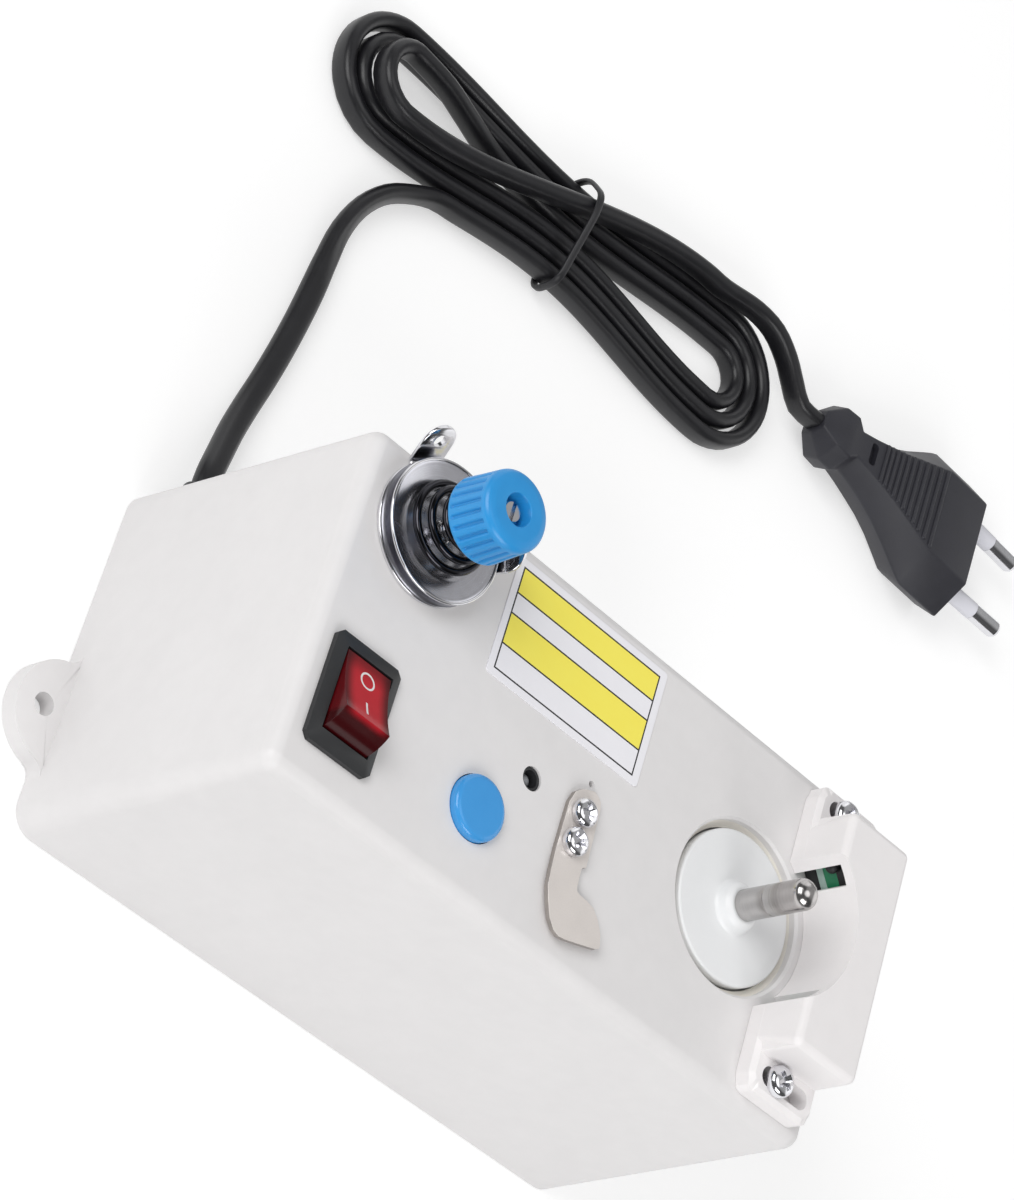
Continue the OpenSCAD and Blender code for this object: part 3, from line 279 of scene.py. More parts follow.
def rocker_finish():
    """Clear red plastic with a painted glow in the middle of its upper face, and painted shade that makes its front and
    its sides dark.
    """
    tree, shader = material("rocker_plastic")
    axes = put(tree, "ShaderNodeSeparateXYZ", {0: object_place(tree)}).outputs
    ridge, far = SWITCH[1] - 4.3, SWITCH[1] + 7.4

    def fade(value, low, high, first, last):
        return ramp(tree, value, low * MM, high * MM, first, last, interpolation_type="SMOOTHSTEP")

    # Painted light: a glow mask over the middle of the upper face; where it falls to zero it gives painted shade on the
    # front and the sides
    aside = maths(tree, "ABSOLUTE", maths(tree, "SUBTRACT", axes["X"], SWITCH[0] * MM))
    glow = fade(aside, 2.4, 5.0, 1.0, 0.12)
    for share in (fade(axes["Y"], ridge - 1.1, ridge + 0.5, 0.0, 1.0), fade(axes["Y"], far - 4.0, far, 1.0, 0.3)):
        glow = maths(tree, "MULTIPLY", glow, share)
    skin = effect(tree, SKIN, Cloud_Scale=260.0, Roughness=0.16, Spread=0.12)
    # Painted shade and painted glow: a dark and a bright copy of the same red
    dim = tinted(tree, skin["Tone"], (46, 4, 7), (64, 8, 12))
    painted_glow_red = tinted(tree, skin["Tone"], (178, 26, 38), (206, 42, 54))
    feed(tree, shader, {"Base Color": mixed(tree, glow, dim, painted_glow_red), "Roughness": skin["Roughness"],
                        "Specular IOR Level": 0.22, "Coat Weight": 0.1, "Coat Roughness": 0.08})


# Finishes: darker and lighter tone, then roughness
plastic("shell_plastic", (222, 220, 220), (233, 231, 231), 0.42)
plastic("hood_plastic", (236, 233, 233), (246, 243, 243), 0.42)
plastic("well_plastic", (226, 222, 213), (237, 233, 224), 0.42)
plastic("nylon", (232, 233, 234), (240, 241, 242), 0.38, bump=0.03)
plastic("knob_plastic", (31, 137, 206), (46, 155, 222), 0.32, cloud=180.0)
plastic("button_plastic", (58, 148, 217), (70, 160, 227), 0.2, spread=0.06, cloud=180.0)
plastic("bezel_plastic", (31, 32, 34), (43, 44, 46), 0.46, bump=0.1, cloud=220.0)
plastic("black_plastic", (22, 22, 24), (34, 34, 37), 0.5, bump=0.08)
plastic("cord_sheath", (20, 20, 23), (30, 30, 34), 0.36, cloud=120.0)
plastic("plug_moulding", (34, 34, 40), (49, 49, 57), 0.5, bump=0.12, cloud=160.0)
plastic("pin_sleeve", (222, 222, 230), (234, 234, 241), 0.45)
plastic("clear_resin", (206, 212, 214), (224, 228, 230), 0.12, bump=0.0)
plastic("smoked_lens", (140, 142, 146), (168, 170, 174), 0.1, bump=0.0)
plastic("board_foot", (158, 184, 176), (186, 208, 200), 0.3, bump=0.02, cloud=500.0)
plastic("sensor_green", (26, 124, 84), (40, 144, 100), 0.35, cloud=500.0)
plastic("board_green", (16, 78, 56), (26, 98, 72), 0.4, cloud=500.0)
plastic("card_grey", (70, 70, 74), (92, 92, 96), 0.55, bump=0.08)
plastic("tie_rubber", (26, 26, 29), (38, 38, 42), 0.4, bump=0.04, cloud=200.0)
plastic("mark_paint", (226, 222, 222), (240, 236, 236), 0.45, bump=0.02, cloud=400.0)
turned_metal("spindle_steel", (160, 157, 156), (210, 207, 206), 0.2, SPINDLE, bump=0.14)
turned_metal("disc_steel", (192, 192, 199), (228, 228, 234), 0.24, POST, spread=0.2)
# Darker copy of the disc steel for the lower disc: painted shade between and under the discs
turned_metal("lower_disc_painted_shade", (122, 122, 128), (160, 160, 167), 0.3, POST, spread=0.2)
turned_metal("plate_chrome", (206, 206, 210), (236, 236, 239), 0.14, POST)
sheet_metal("screw_chrome", (212, 212, 216), (238, 238, 241), 0.15)
sheet_metal("spring_wire", (40, 40, 44), (72, 72, 77), 0.15)
sheet_metal("blade_nickel", (218, 211, 206), (240, 233, 228), 0.36, grain=2600.0, stretch=3.0, metallic=0.25)
# Darker copy of the blade's metal for its narrow faces: painted shade along the blade's edges
sheet_metal("blade_edge_painted_shade", (160, 154, 149), (190, 184, 179), 0.3)
sheet_metal("zinc_plate", (150, 152, 156), (186, 188, 192), 0.36, stretch=14.0)
sheet_metal("brass_plate", (186, 150, 82), (212, 178, 108), 0.3, stretch=14.0)
label_finish()
rocker_finish()


# Stage, light and camera
CAMERA_PLACE, CAMERA_LENS = (-0.3965, -0.3208, 0.5268), 119.9
CAMERA_RIGHT = Vector((0.6588, 0.2566, 0.7072))
CAMERA_DOWN = Vector((0.5289, -0.8265, -0.1929))
CAMERA_AHEAD = Vector((0.535, 0.5011, -0.6802))
STAGE_MIDDLE = (0, 0.03, 0.04)
WHITE = (1, 1, 1, 1)
PAPER_LIT, PAPER_SEEN, PAPER_LIFT = (0.86, 0.86, 0.86, 1), (0.62, 0.62, 0.62, 1), 0.5
ROOM_LIGHT, ROOM_SHINE = 0.46, 0.08
# Bright cards that only reflections see: the way to each, where its glow starts and is full, and its strength
CARDS = (((0, 0, 1), 0.93, 0.97, 1.5), ((0.535, 0.5, 0.68), 0.55, 0.95, 0.32),
         ((0.95, 0.2, 0.25), 0.86, 0.93, 0.9), ((-0.1, 0.95, 0.3), 0.86, 0.93, 0.9))


def new_object(name, data):
    made = bpy.data.objects.new(name, data)
    scene.collection.objects.link(made)
    return made


def photo_camera():
    data = bpy.data.cameras.new("photo_camera")
    data.sensor_width = 36
    data.lens = CAMERA_LENS
    data.clip_start, data.clip_end = 0.05, 30
    made = new_object("photo_camera", data)
    made.location = CAMERA_PLACE
    made.rotation_euler = Matrix((CAMERA_RIGHT, -CAMERA_DOWN, -CAMERA_AHEAD)).transposed().to_euler()
    scene.camera = made


def seen_by(tree, rays, *kinds):
    """One for rays of the named kinds, and zero for others."""
    first, *others = (rays[f"Is {kind} Ray"] for kind in kinds)
    for other in others:
        first = maths(tree, "ADD", first, other, use_clamp=True)
    return first


def studio_floor():
    """Pale paper under the object, lifted for the eye so that it stays plain round the shadow."""
    bm = bmesh.new()
    ops.create_grid(bm, x_segments=1, y_segments=1, size=6.0)
    ops.translate(bm, verts=bm.verts, vec=point(0, 0, -0.2))
    made = new_object("studio_floor", loose_mesh(bm, "studio_floor"))
    tree, shader = material("studio_paper")
    seen = seen_by(tree, put(tree, "ShaderNodeLightPath").outputs, "Camera", "Glossy", "Transmission")
    feed(tree, shader, {"Base Color": mixed(tree, seen, PAPER_LIT, PAPER_SEEN), "Roughness": 0.9,
                        "Emission Color": WHITE, "Emission Strength": maths(tree, "MULTIPLY", seen, PAPER_LIFT)})
    made.data.materials.append(FINISHES["studio_paper"])


def softbox(name, place, size, power):
    data = bpy.data.lights.new(name, "AREA")
    data.shape = "RECTANGLE"
    data.size, data.size_y = size
    data.energy = power
    made = new_object(name, data)
    made.location = place
    made.rotation_euler = (Vector(STAGE_MIDDLE) - Vector(place)).to_track_quat("-Z", "Y").to_euler()


def studio():
    """Two softboxes in even white, where reflections see a dim room with a few bright cards."""
    scene.world = bpy.data.worlds.new("studio_world")
    scene.world.use_nodes = True
    tree = scene.world.node_tree
    rays = put(tree, "ShaderNodeLightPath").outputs
    level = ramp(tree, seen_by(tree, rays, "Camera", "Transmission"), 0.0, 1.0, ROOM_LIGHT, 1.0)
    way = put(tree, "ShaderNodeTexCoord").outputs["Generated"]
    shine = ROOM_SHINE
    for aim, start, full, strength in CARDS:
        facing = vector_maths(tree, "DOT_PRODUCT", way, aim)["Value"]
        glow = ramp(tree, facing, start, full, 0.0, strength, interpolation_type="SMOOTHSTEP")
        shine = maths(tree, "ADD", glow, shine)
    light = put(tree, "ShaderNodeMix", {"Factor": rays["Is Glossy Ray"], 2: level, 3: shine}).outputs[0]
    feed(tree, tree.nodes["Background"], {"Color": WHITE, "Strength": light})
    softbox("key_softbox", place=(-1.08, 0.05, 0.85), size=(0.9, 0.7), power=8.8)
    softbox("fill_softbox", place=(0.15, -1.12, 0.76), size=(0.9, 0.6), power=7.0)
    scene.view_settings.view_transform = "Standard"


# Mesh helpers
HARD_EDGE = radians(32)


def loose_mesh(bm, name="loose"):
    mesh = bpy.data.meshes.new(name)
    bm.to_mesh(mesh)
    bm.free()
    return mesh


def finish_piece(name, bm, finish, body, stands_for=(), sharp=35.0):
    """A shape as a finished piece, smooth apart from its seams and edges over the sharp angle."""
    ops.remove_doubles(bm, verts=bm.verts, dist=2e-7)
    ops.recalc_face_normals(bm, faces=bm.faces)
    limit = radians(sharp)
    for face in bm.faces:
        face.smooth = True
    for edge in bm.edges:
        edge.smooth = not edge.seam and len(edge.link_faces) == 2 and edge.calc_face_angle() < limit
    made = new_object(name, loose_mesh(bm, name))
    made.data.materials.append(FINISHES[finish])
    if body:
        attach(made, body)
    if stands_for:
        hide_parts(*stands_for)
    return made


def soften(bm, edges, radius, segments, **settings):
    ops.bevel(bm, geom=edges, offset=radius * MM, affect="EDGES", segments=segments, profile=0.5, material=-1,
              **settings)


def smooth_route(points, step):
    """Points along a smooth curve through the given ones, about a step apart, with their fourth value carried along."""
    out = []
    last = len(points) - 1
    for i in range(last):
        a, b, c, d = (Vector(points[max(0, min(last, k))]) for k in (i - 1, i, i + 1, i + 2))
        if i == 0:
            a = b * 2 - c
        if i == last - 1:
            d = c * 2 - b
        count = max(1, round((c - b).xyz.length / step))
        for k in range(count):
            t = k / count
            out.append(((b * 2) + (c - a) * t + (a * 2 - b * 5 + c * 4 - d) * t ** 2
                        + (b * 3 - a - c * 3 + d) * t ** 3) * 0.5)
    out.append(Vector(points[last]))
    return out


def turned_frame(place, across, way):
    """A frame at a place in millimetres, its first axis across and its third along a way."""
    return Matrix.Translation(place * MM) @ Matrix((across, way.cross(across), way)).transposed().to_4x4()


def frames_along(route):
    """A frame at each point of a route, level across it and rolled by the point's fourth value in degrees."""
    frames = []
    for i, here in enumerate(route):
        way = (route[min(i + 1, len(route) - 1)].xyz - route[max(i - 1, 0)].xyz).normalized()
        across = Vector((0, 0, 1)).cross(way).normalized()
        frames.append(turned_frame(here.xyz, across, way) @ Matrix.Rotation(radians(here.w), 4, "Z"))
    return frames


def grown_ring(bm, edges):
    """Edges and corners of a ring extruded from another one, not yet moved."""
    grown = ops.extrude_edge_only(bm, edges=edges)["geom"]
    verts = [g for g in grown if isinstance(g, bmesh.types.BMVert)]
    return [g for g in grown if isinstance(g, bmesh.types.BMEdge) and all(v in verts for v in g.verts)], verts


def swept_tube(frames, width, thick, sides, closed=False):
    """A round or flat section carried along frames by extruding its ring from one to the next."""
    bm = bmesh.new()
    ring = ops.create_circle(bm, segments=sides, radius=thick / 2 * MM)["verts"]
    spread = (width - thick) / 2 * MM
    ops.rotate(bm, verts=ring, cent=(0, 0, 0), matrix=Matrix.Rotation(pi / sides, 3, "Z"))
    for side in (1, -1):
        ops.translate(bm, verts=[v for v in ring if side * v.co.x > 0], vec=(side * spread, 0, 0))
    ops.transform(bm, matrix=frames[0], verts=ring)
    first = edges = bm.edges[:]
    for before, after in zip(frames, frames[1:]):
        edges, verts = grown_ring(bm, edges)
        ops.transform(bm, matrix=after @ before.inverted(), verts=verts)
    if closed:
        ops.bridge_loops(bm, edges=first + edges)
    else:
        ops.edgeloop_fill(bm, edges=first)
        ops.edgeloop_fill(bm, edges=edges)
    return bm


def eased(profile, radius, count=4):
    """A profile with its inner corners rounded to about a radius."""
    out = [Vector(profile[0])]
    for before, corner, after in zip(profile, profile[1:], profile[2:]):
        before, corner, after = Vector(before), Vector(corner), Vector(after)
        back, on = before - corner, after - corner
        reach = min(radius, back.length * 0.45, on.length * 0.45)
        start, end = corner + back.normalized() * reach, corner + on.normalized() * reach
        for k in range(count + 1):
            t = k / count
            out.append(start * (1 - t) ** 2 + corner * (2 * t * (1 - t)) + end * t ** 2)
    return out + [Vector(profile[-1])]


def lathe(profile, centre, steps):
    """A profile of radius and height spun about an upright axis."""
    bm = bmesh.new()
    line = [bm.verts.new(point(centre[0] + r, centre[1], z)) for r, z in profile]
    runs = [bm.edges.new(pair) for pair in zip(line, line[1:])]
    ops.spin(bm, geom=line + runs, cent=point(*centre, 0), axis=(0, 0, 1), angle=tau, steps=steps, use_merge=True)
    ops.remove_doubles(bm, verts=bm.verts, dist=1e-6)
    return bm


def round_pin(radius, half):
    """A pin about the upright axis, to cut a round hole with."""
    return lathe([(0, -half), (radius, -half), (radius, half), (0, half)], (0, 0), 40)


def bar(size, place, turn=0.0, taper=1.0):
    """A box in millimetres, its lower end drawn in by the taper."""
    bm = bmesh.new()
    corners = ops.create_cube(bm, size=1.0)["verts"]
    ops.scale(bm, vec=Vector(size) * MM, verts=corners)
    ops.scale(bm, vec=(taper, taper, 1), verts=[v for v in corners if v.co.z < 0])
    ops.rotate(bm, verts=corners, cent=(0, 0, 0), matrix=Matrix.Rotation(radians(turn), 3, "Z"))
    ops.translate(bm, verts=corners, vec=point(*place))
    return bm


def joined(*parts):
    whole = bmesh.new()
    for part in parts:
        mesh = loose_mesh(part)
        whole.from_mesh(mesh)
        bpy.data.meshes.remove(mesh)
    return whole


def carved(bm, *cutters):
    """A shape with other shapes cut out of it."""
    things = []
    for shape in (bm, *cutters):
        ops.recalc_face_normals(shape, faces=shape.faces)
        things.append(new_object("carving", loose_mesh(shape)))
    block, *tools = things
    for tool in tools:
        cut = block.modifiers.new("cut", "BOOLEAN")
        cut.operation = "DIFFERENCE"
        cut.solver = "EXACT"
        cut.object = tool
    result = bpy.data.meshes.new_from_object(block.evaluated_get(bpy.context.evaluated_depsgraph_get()))
    out = bmesh.new()
    out.from_mesh(result)
    for thing in things:
        mesh = thing.data
        bpy.data.objects.remove(thing)
        bpy.data.meshes.remove(mesh)
    bpy.data.meshes.remove(result)
    return out


def solid_copy(node):
    """A merged copy of a solid's own mesh."""
    bm = bmesh.new()
    bm.from_mesh(nodes[node].data)
    ops.remove_doubles(bm, verts=bm.verts, dist=1e-6)
    return bm


def dressed(name, node, finish, body, edge, segments=2, shape=None, fine=None):
    """The solid's shape with its hard edges softly rounded, fine ones less, and those with no share left sharp."""
    bm = shape or solid_copy(node)
    ops.dissolve_limit(bm, angle_limit=radians(0.4), verts=bm.verts, edges=bm.edges)
    weight = bm.edges.layers.float.new("bevel_weight_edge")
    for side in bm.edges:
        if len(side.link_faces) == 2 and side.calc_face_angle() > HARD_EDGE:
            middle = (side.verts[0].co + side.verts[1].co) / (2 * MM)
            side[weight] = fine(middle) if fine else 1.0
            side.seam = side[weight] == 0.0
    made = finish_piece(name, bm, finish, body, (node,), sharp=181.0)
    soft = made.modifiers.new("soft_edges", "BEVEL")
    soft.width = edge * MM
    soft.segments = segments
    soft.limit_method = "WEIGHT"
    even = made.modifiers.new("even_normals", "WEIGHTED_NORMAL")
    even.weight = 90
    even.keep_sharp = True
    return made


# Cord: the lead, the hank's loops and the tail that goes into the plug, on the route of the part
CORD_WIDE, CORD_THICK, CORD_STEP = 5.4, 3.4, 2.2
HANK_X, HANK_Y = 0.0, 144.5
HANK_HALF, HANK_R, HANK_STEP, HANK_WAIST = 49.0, 16.4, 4.1, 4.65
LAYER_STEP, WAIST_LIFT, LAST_LOOP_R = 5.9, 1.3, 8.6
LOOPS, LOOP_KNOTS, CROSS_KNOTS = 3, 48, 16
CROSS_END = (41.0, 13.6)
ON_EDGE = 90
LEAD_EXIT = (-60.5, 38.95, 6.4)
LEAD_POINTS = [
    (-60.5, 42.95, 6.4, 0), (-59, 49, 4.9, 0), (-57.2, 56, 3.2, 0), (-55.3, 63, 2.1, 0), (-53.6, 70, 1.8, 0),
    (-52.1, 78, 1.8, 0), (-50.9, 86, 1.8, 0), (-50, 94, 1.8, 0), (-49.5, 101.5, 2, 15), (-48.8, 109, 2.3, 35),
    (-46.5, 116.2, 2.6, 55), (-42.4, 122.3, 2.8, 75), (-37, 126.6, 2.8, ON_EDGE)]
LEAD_END_X = -31.0
TAIL_POINTS = [(50.5, 159.5, 8.8), (57.4, 158.8, 8.8), (63.2, 156, 8.2), (67.6, 152.5, 7.4)]
PLUG_PLACE, PLUG_TURN = (77.0, 149.2, 6.85), radians(-1.6)
TIE_OUTLINE = [(0, 0.6), (12.1, 0.6), (12.1, 7.9), (6.3, 13.3), (1.7, 13.3), (-14.2, 7.9), (-14.2, 0.6), (0, 0.6)]
TIE_WIDE, TIE_THICK, TIE_CORNER = 1.7, 0.95, 3.0


def waist(x):
    """How far a place along the hank is drawn in: fully in its middle, not at all at its ends."""
    return 0.5 + 0.5 * cos(pi * max(-1, min(1, x / HANK_HALF)))


def ease(t):
    t = max(0, min(1, t))
    return t * t * (3 - 2 * t)


def loop_point(turn):
    """A point of the nested loops, the last of which climbs to the upper layer."""
    inward = HANK_R - HANK_STEP * min(turn, LOOPS - 0.25)
    r = inward if turn < LOOPS - 0.25 else inward + (LAST_LOOP_R - inward) * (turn - LOOPS + 0.25) * 4
    quarter, s = divmod((turn - floor(turn)) * 4, 1)
    if quarter == 0:
        x = HANK_HALF * (2 * s - 1)
        y = -(r - HANK_WAIST * waist(x))
    elif quarter == 1:
        x, y = HANK_HALF + r * sin(pi * s), -r * cos(pi * s)
    elif quarter == 2:
        x = HANK_HALF * (1 - 2 * s)
        y = r - HANK_WAIST * waist(x)
    else:
        x, y = -HANK_HALF - r * sin(pi * s), r * cos(pi * s)
    z = CORD_WIDE / 2 + WAIST_LIFT * waist(x) + LAYER_STEP * ease((turn - LOOPS + 1 / 3) * 12)
    return Vector((HANK_X + x, HANK_Y + y, z, ON_EDGE))


def cross_point(s):
    """A point of the run that crosses over the hank from the last loop to the tail."""
    x = -HANK_HALF + s * (CROSS_END[0] + HANK_HALF)
    y = -LAST_LOOP_R + (CROSS_END[1] + LAST_LOOP_R) * ease(s)
    return Vector((HANK_X + x, HANK_Y + y, CORD_WIDE / 2 + WAIST_LIFT * waist(x) + LAYER_STEP, ON_EDGE))


def cord_route():
    first_turn = (LEAD_END_X + CORD_WIDE - HANK_X + HANK_HALF) / HANK_HALF / 8
    first = loop_point(first_turn)
    way = (loop_point(first_turn + 0.02) - first).xyz.normalized()
    start = Vector((*(first.xyz - CORD_WIDE * way), ON_EDGE))
    plug_way = Vector((cos(PLUG_TURN), sin(PLUG_TURN), 0))
    last = Vector(PLUG_PLACE)
    knots = [Vector((*LEAD_EXIT, 0)), *(Vector(p) for p in LEAD_POINTS), start, first]
    next_knot = ceil(first_turn * LOOP_KNOTS + 0.5)
    knots += [loop_point(i / LOOP_KNOTS) for i in range(next_knot, LOOPS * LOOP_KNOTS)]
    knots += [cross_point(i / CROSS_KNOTS) for i in range(CROSS_KNOTS + 1)]
    knots += [Vector((*p, ON_EDGE)) for p in (*TAIL_POINTS, last - CORD_WIDE * plug_way, last)]
    return smooth_route(knots, CORD_STEP)


def make_cord():
    route = cord_route()
    bm = swept_tube(frames_along(route), CORD_WIDE, CORD_THICK, 16)
    flex = finish_piece("mains_cord", bm, "cord_sheath", "case", ("cord_lead", "cord_hank"), sharp=60)


def make_tie():
    """A wire tie drawn round the hank's waist."""
    ring = [Vector((HANK_X, HANK_Y + y, z)) for y, z in eased(TIE_OUTLINE, TIE_CORNER, 8)[:-1]]
    frames = []
    for i, here in enumerate(ring):
        way = (ring[(i + 1) % len(ring)] - ring[i - 1]).normalized()
        frames.append(turned_frame(here, Vector((1, 0, 0)), way))
    tube = swept_tube(frames, TIE_WIDE, TIE_THICK, 12, closed=True)
    return finish_piece("hank_tie", tube, "tie_rubber", "case", ("cord_tie",), sharp=60)


# Plug: a place along its axis, half width at the middle, half width of the upper flat, half height and half width of
# the lower flat
PLUG_SECTIONS = [
    (0, 3.0, 2.0, 3.2, 2.0), (3.9, 7.2, 5.0, 5.0, 5.0), (7.9, 7.4, 5.2, 5.15, 5.2), (10.2, 5.6, 3.2, 4.8, 3.6),
    (14.5, 6.4, 4.1, 5.1, 4.4), (19, 7.8, 5.2, 5.5, 5.4), (23.5, 9.8, 6.4, 5.9, 6.5), (28, 12.4, 7.9, 6.3, 8.3),
    (32.5, 15.4, 9.4, 6.6, 11.0), (35, 17.0, 10.2, 6.75, 12.6), (36.5, 17.7, 10.7, 6.85, 12.7),
    (49, 17.7, 10.7, 6.85, 12.7)]
PLUG_EDGE = 0.45
PLUG_SLOT_SIZE, PLUG_SLOT_PLACE, PLUG_SLOT_CORNER = (5.4, 4, 1.9), (0, 5.6, 14.2), 0.7
RIBS, RIB_FIRST, RIB_LAST, RIB_TALL, RIB_EDGE, RIB_SUNK = 11, 17.6, 35.2, 1.1, 0.36, 0.12


def plug_flat(s):
    """Half width and half height of the plug's upper flat at a place along its axis."""
    for low, high in zip(PLUG_SECTIONS, PLUG_SECTIONS[1:]):
        if low[0] <= s <= high[0]:
            t = (s - low[0]) / (high[0] - low[0])
            return low[2] + (high[2] - low[2]) * t, low[3] + (high[3] - low[3]) * t


def plug_block():
    """The plug's six-sided body with softly rounded edges, its axis upright."""
    bm = bmesh.new()
    verts = ops.create_circle(bm, segments=6, radius=MM)["verts"]
    ops.rotate(bm, verts=verts, cent=(0, 0, 0), matrix=Matrix.Rotation(pi / 2, 3, "Z"))
    back = edges = bm.edges[:]
    place, mid, half, tall, low = 0.0, 1.0, 0.5, sqrt(0.75), 0.5
    for i, section in enumerate(PLUG_SECTIONS):
        if i > 0:
            edges, verts = grown_ring(bm, edges)
        mids = [v for v in verts if abs(v.co.y) < 1e-6]
        upper, lower = ([v for v in verts if side * v.co.y > 1e-6] for side in (1, -1))
        ops.scale(bm, vec=(section[1] / mid, 1, 1), verts=mids)
        ops.scale(bm, vec=(section[2] / half, section[3] / tall, 1), verts=upper)
        ops.scale(bm, vec=(section[4] / low, section[3] / tall, 1), verts=lower)
        ops.translate(bm, vec=point(0, 0, section[0] - place), verts=mids + upper + lower)
        place, mid, half, tall, low = section
    ops.edgeloop_fill(bm, edges=back)
    ops.edgeloop_fill(bm, edges=edges)
    ops.recalc_face_normals(bm, faces=bm.faces)
    hard = [e for e in bm.edges if len(e.link_faces) == 2 and e.calc_face_angle() > radians(24)]
    soften(bm, hard, PLUG_EDGE, 3, clamp_overlap=True)
    return bm


def make_plug():
    """Flat six-sided plug with a collar, a slot and grip ribs."""
    slot = bar(PLUG_SLOT_SIZE, PLUG_SLOT_PLACE)
    soften(slot, [e for e in slot.edges if abs((e.verts[0].co - e.verts[1].co).y) > 1e-4], PLUG_SLOT_CORNER, 4)
    parts = [carved(plug_block(), slot)]
    for i in range(RIBS):
        t = i / (RIBS - 1)
        s = RIB_FIRST + (RIB_LAST - RIB_FIRST) * (0.75 * t + 0.25 * t * t)
        half, tall = plug_flat(s)
        rib = bar((2 * half - 0.2, RIB_TALL, 0.9 + 0.2 * t), (0, tall - RIB_SUNK, s))
        soften(rib, rib.edges[:], RIB_EDGE, 3)
        parts.append(rib)
    bm = joined(*parts)
    lie = Matrix(((0, 0, 1, 0), (1, 0, 0, 0), (0, 1, 0, 0), (0, 0, 0, 1)))
    turn = Matrix.Rotation(PLUG_TURN, 4, "Z")
    ops.transform(bm, matrix=Matrix.Translation(point(*PLUG_PLACE)) @ turn @ lie, verts=bm.verts)
    return finish_piece("mains_plug", bm, "plug_moulding", "case", ("plug_body",), sharp=40)


# Case and its ears: the end wall, the ears' middle, half width and height, and the fillets at their roots
END_WALL, EAR_Y, EAR_REACH, EAR_TOP = -70.25, -14.0, 12.2, 3.9
FILLET_START, FILLET_RUN, FILLET_IN, FILLET_ALONG, FILLET_DRAFT = 9.9, 2.18, 0.3, 0.266, 0.104


def case_shape():
    """The case, with the fillets at each ear's root run out smoothly into its end wall."""
    bm = solid_copy("top_case")
    root = []
    for v in bm.verts:
        x, y, z = -abs(v.co.x) / MM, v.co.y / MM, v.co.z / MM
        inward = -copysign(1.0, v.co.x)
        off = abs(y - EAR_Y)
        if z < EAR_TOP and FILLET_START - 0.2 < off < EAR_REACH + 0.1 and END_WALL - 2.3 < x < END_WALL + 0.15:
            root.append(v)
            sink = FILLET_DRAFT if z > 1 else 0.0
            if x < END_WALL - 0.2 and off > FILLET_START:
                t = (EAR_REACH - off) / FILLET_RUN
                shift = point(inward * (FILLET_IN + sink) * (1 - t), copysign(FILLET_ALONG * t, EAR_Y - y), 0)
                ops.translate(bm, verts=[v], vec=shift)
            elif abs(x - END_WALL) < 0.01:
                ops.translate(bm, verts=[v], vec=point(inward * sink, 0, 0))
    ops.remove_doubles(bm, verts=root, dist=2e-5)
    return bm


def ear_seam(place):
    """Share of the rounding that a case edge takes: none where the ear's fillets meet the end wall."""
    at_wall = END_WALL - 0.1 < -abs(place.x) < END_WALL + 0.3 and place.z < EAR_TOP
    return 0.0 if at_wall and FILLET_START < abs(place.y - EAR_Y) < EAR_REACH + 0.1 else 1.0


# Sensor housing: its end walls and lugs, which are drawn out, and the flare and strips behind its beam windows
HOOD_WALL_Y, HOOD_WALL_FOOT, HOOD_WALL_OUT = (20.6, 23.3), 66.9, 1.5
LUG_Y, LUG_OUT = 29.3, 0.9
FLARE_SIZE, FLARE_PLACE, FLARE_TURN = (5.0, 1.9, 12.9), (53.656, 12.77, 67.45), 43.1
STRIP_WIDE, STRIP_X, STRIP_Y, STRIP_TURN = 5.7, 53.845, 13.63, 46.9
BEAM_EYE, BEAM_EYE_R = (51.35, 15, 70.6), 1.35
WINDOW_X, WINDOW_Y, WINDOW_TOP = 49, 20, 74.2


def hood_shape():
    """The sensor housing with its ends drawn out, and its beam windows flared on the inside."""
    bm = solid_copy("sensor_housing")
    near, far = HOOD_WALL_Y
    for side in (1, -1):
        wall = [v for v in bm.verts if near < side * v.co.y / MM < far and v.co.z > HOOD_WALL_FOOT * MM]
        ops.translate(bm, verts=wall, vec=point(0, side * HOOD_WALL_OUT, 0))
        lug = [v for v in bm.verts if side * v.co.y / MM > LUG_Y]
        ops.translate(bm, verts=lug, vec=point(0, side * LUG_OUT, 0))
    x, y, z = FLARE_PLACE
    return carved(bm, *(bar(FLARE_SIZE, (x, side * y, z), side * FLARE_TURN) for side in (1, -1)))


def window_edge(place):
    """Share of the rounding that a housing edge takes: less round the beam windows."""
    return 0.25 if abs(place.y) < WINDOW_Y and place.z < WINDOW_TOP and place.x > WINDOW_X else 1.0


def beam_strip(side, thick, low, high):
    """A slat behind one of the beam windows."""
    made = bar((STRIP_WIDE, thick, high - low), (STRIP_X, side * STRIP_Y, (low + high) / 2), -side * STRIP_TURN)
    soften(made, made.edges[:], 0.08, 2)
    return made


def beam_hole(side):
    eye = round_pin(BEAM_EYE_R, 4)
    x, y, z = BEAM_EYE
    lie = Matrix.Translation(point(x, side * y, z)) @ Matrix.Rotation(pi / 2, 4, "X")
    ops.transform(eye, verts=eye.verts, matrix=lie)
    return eye


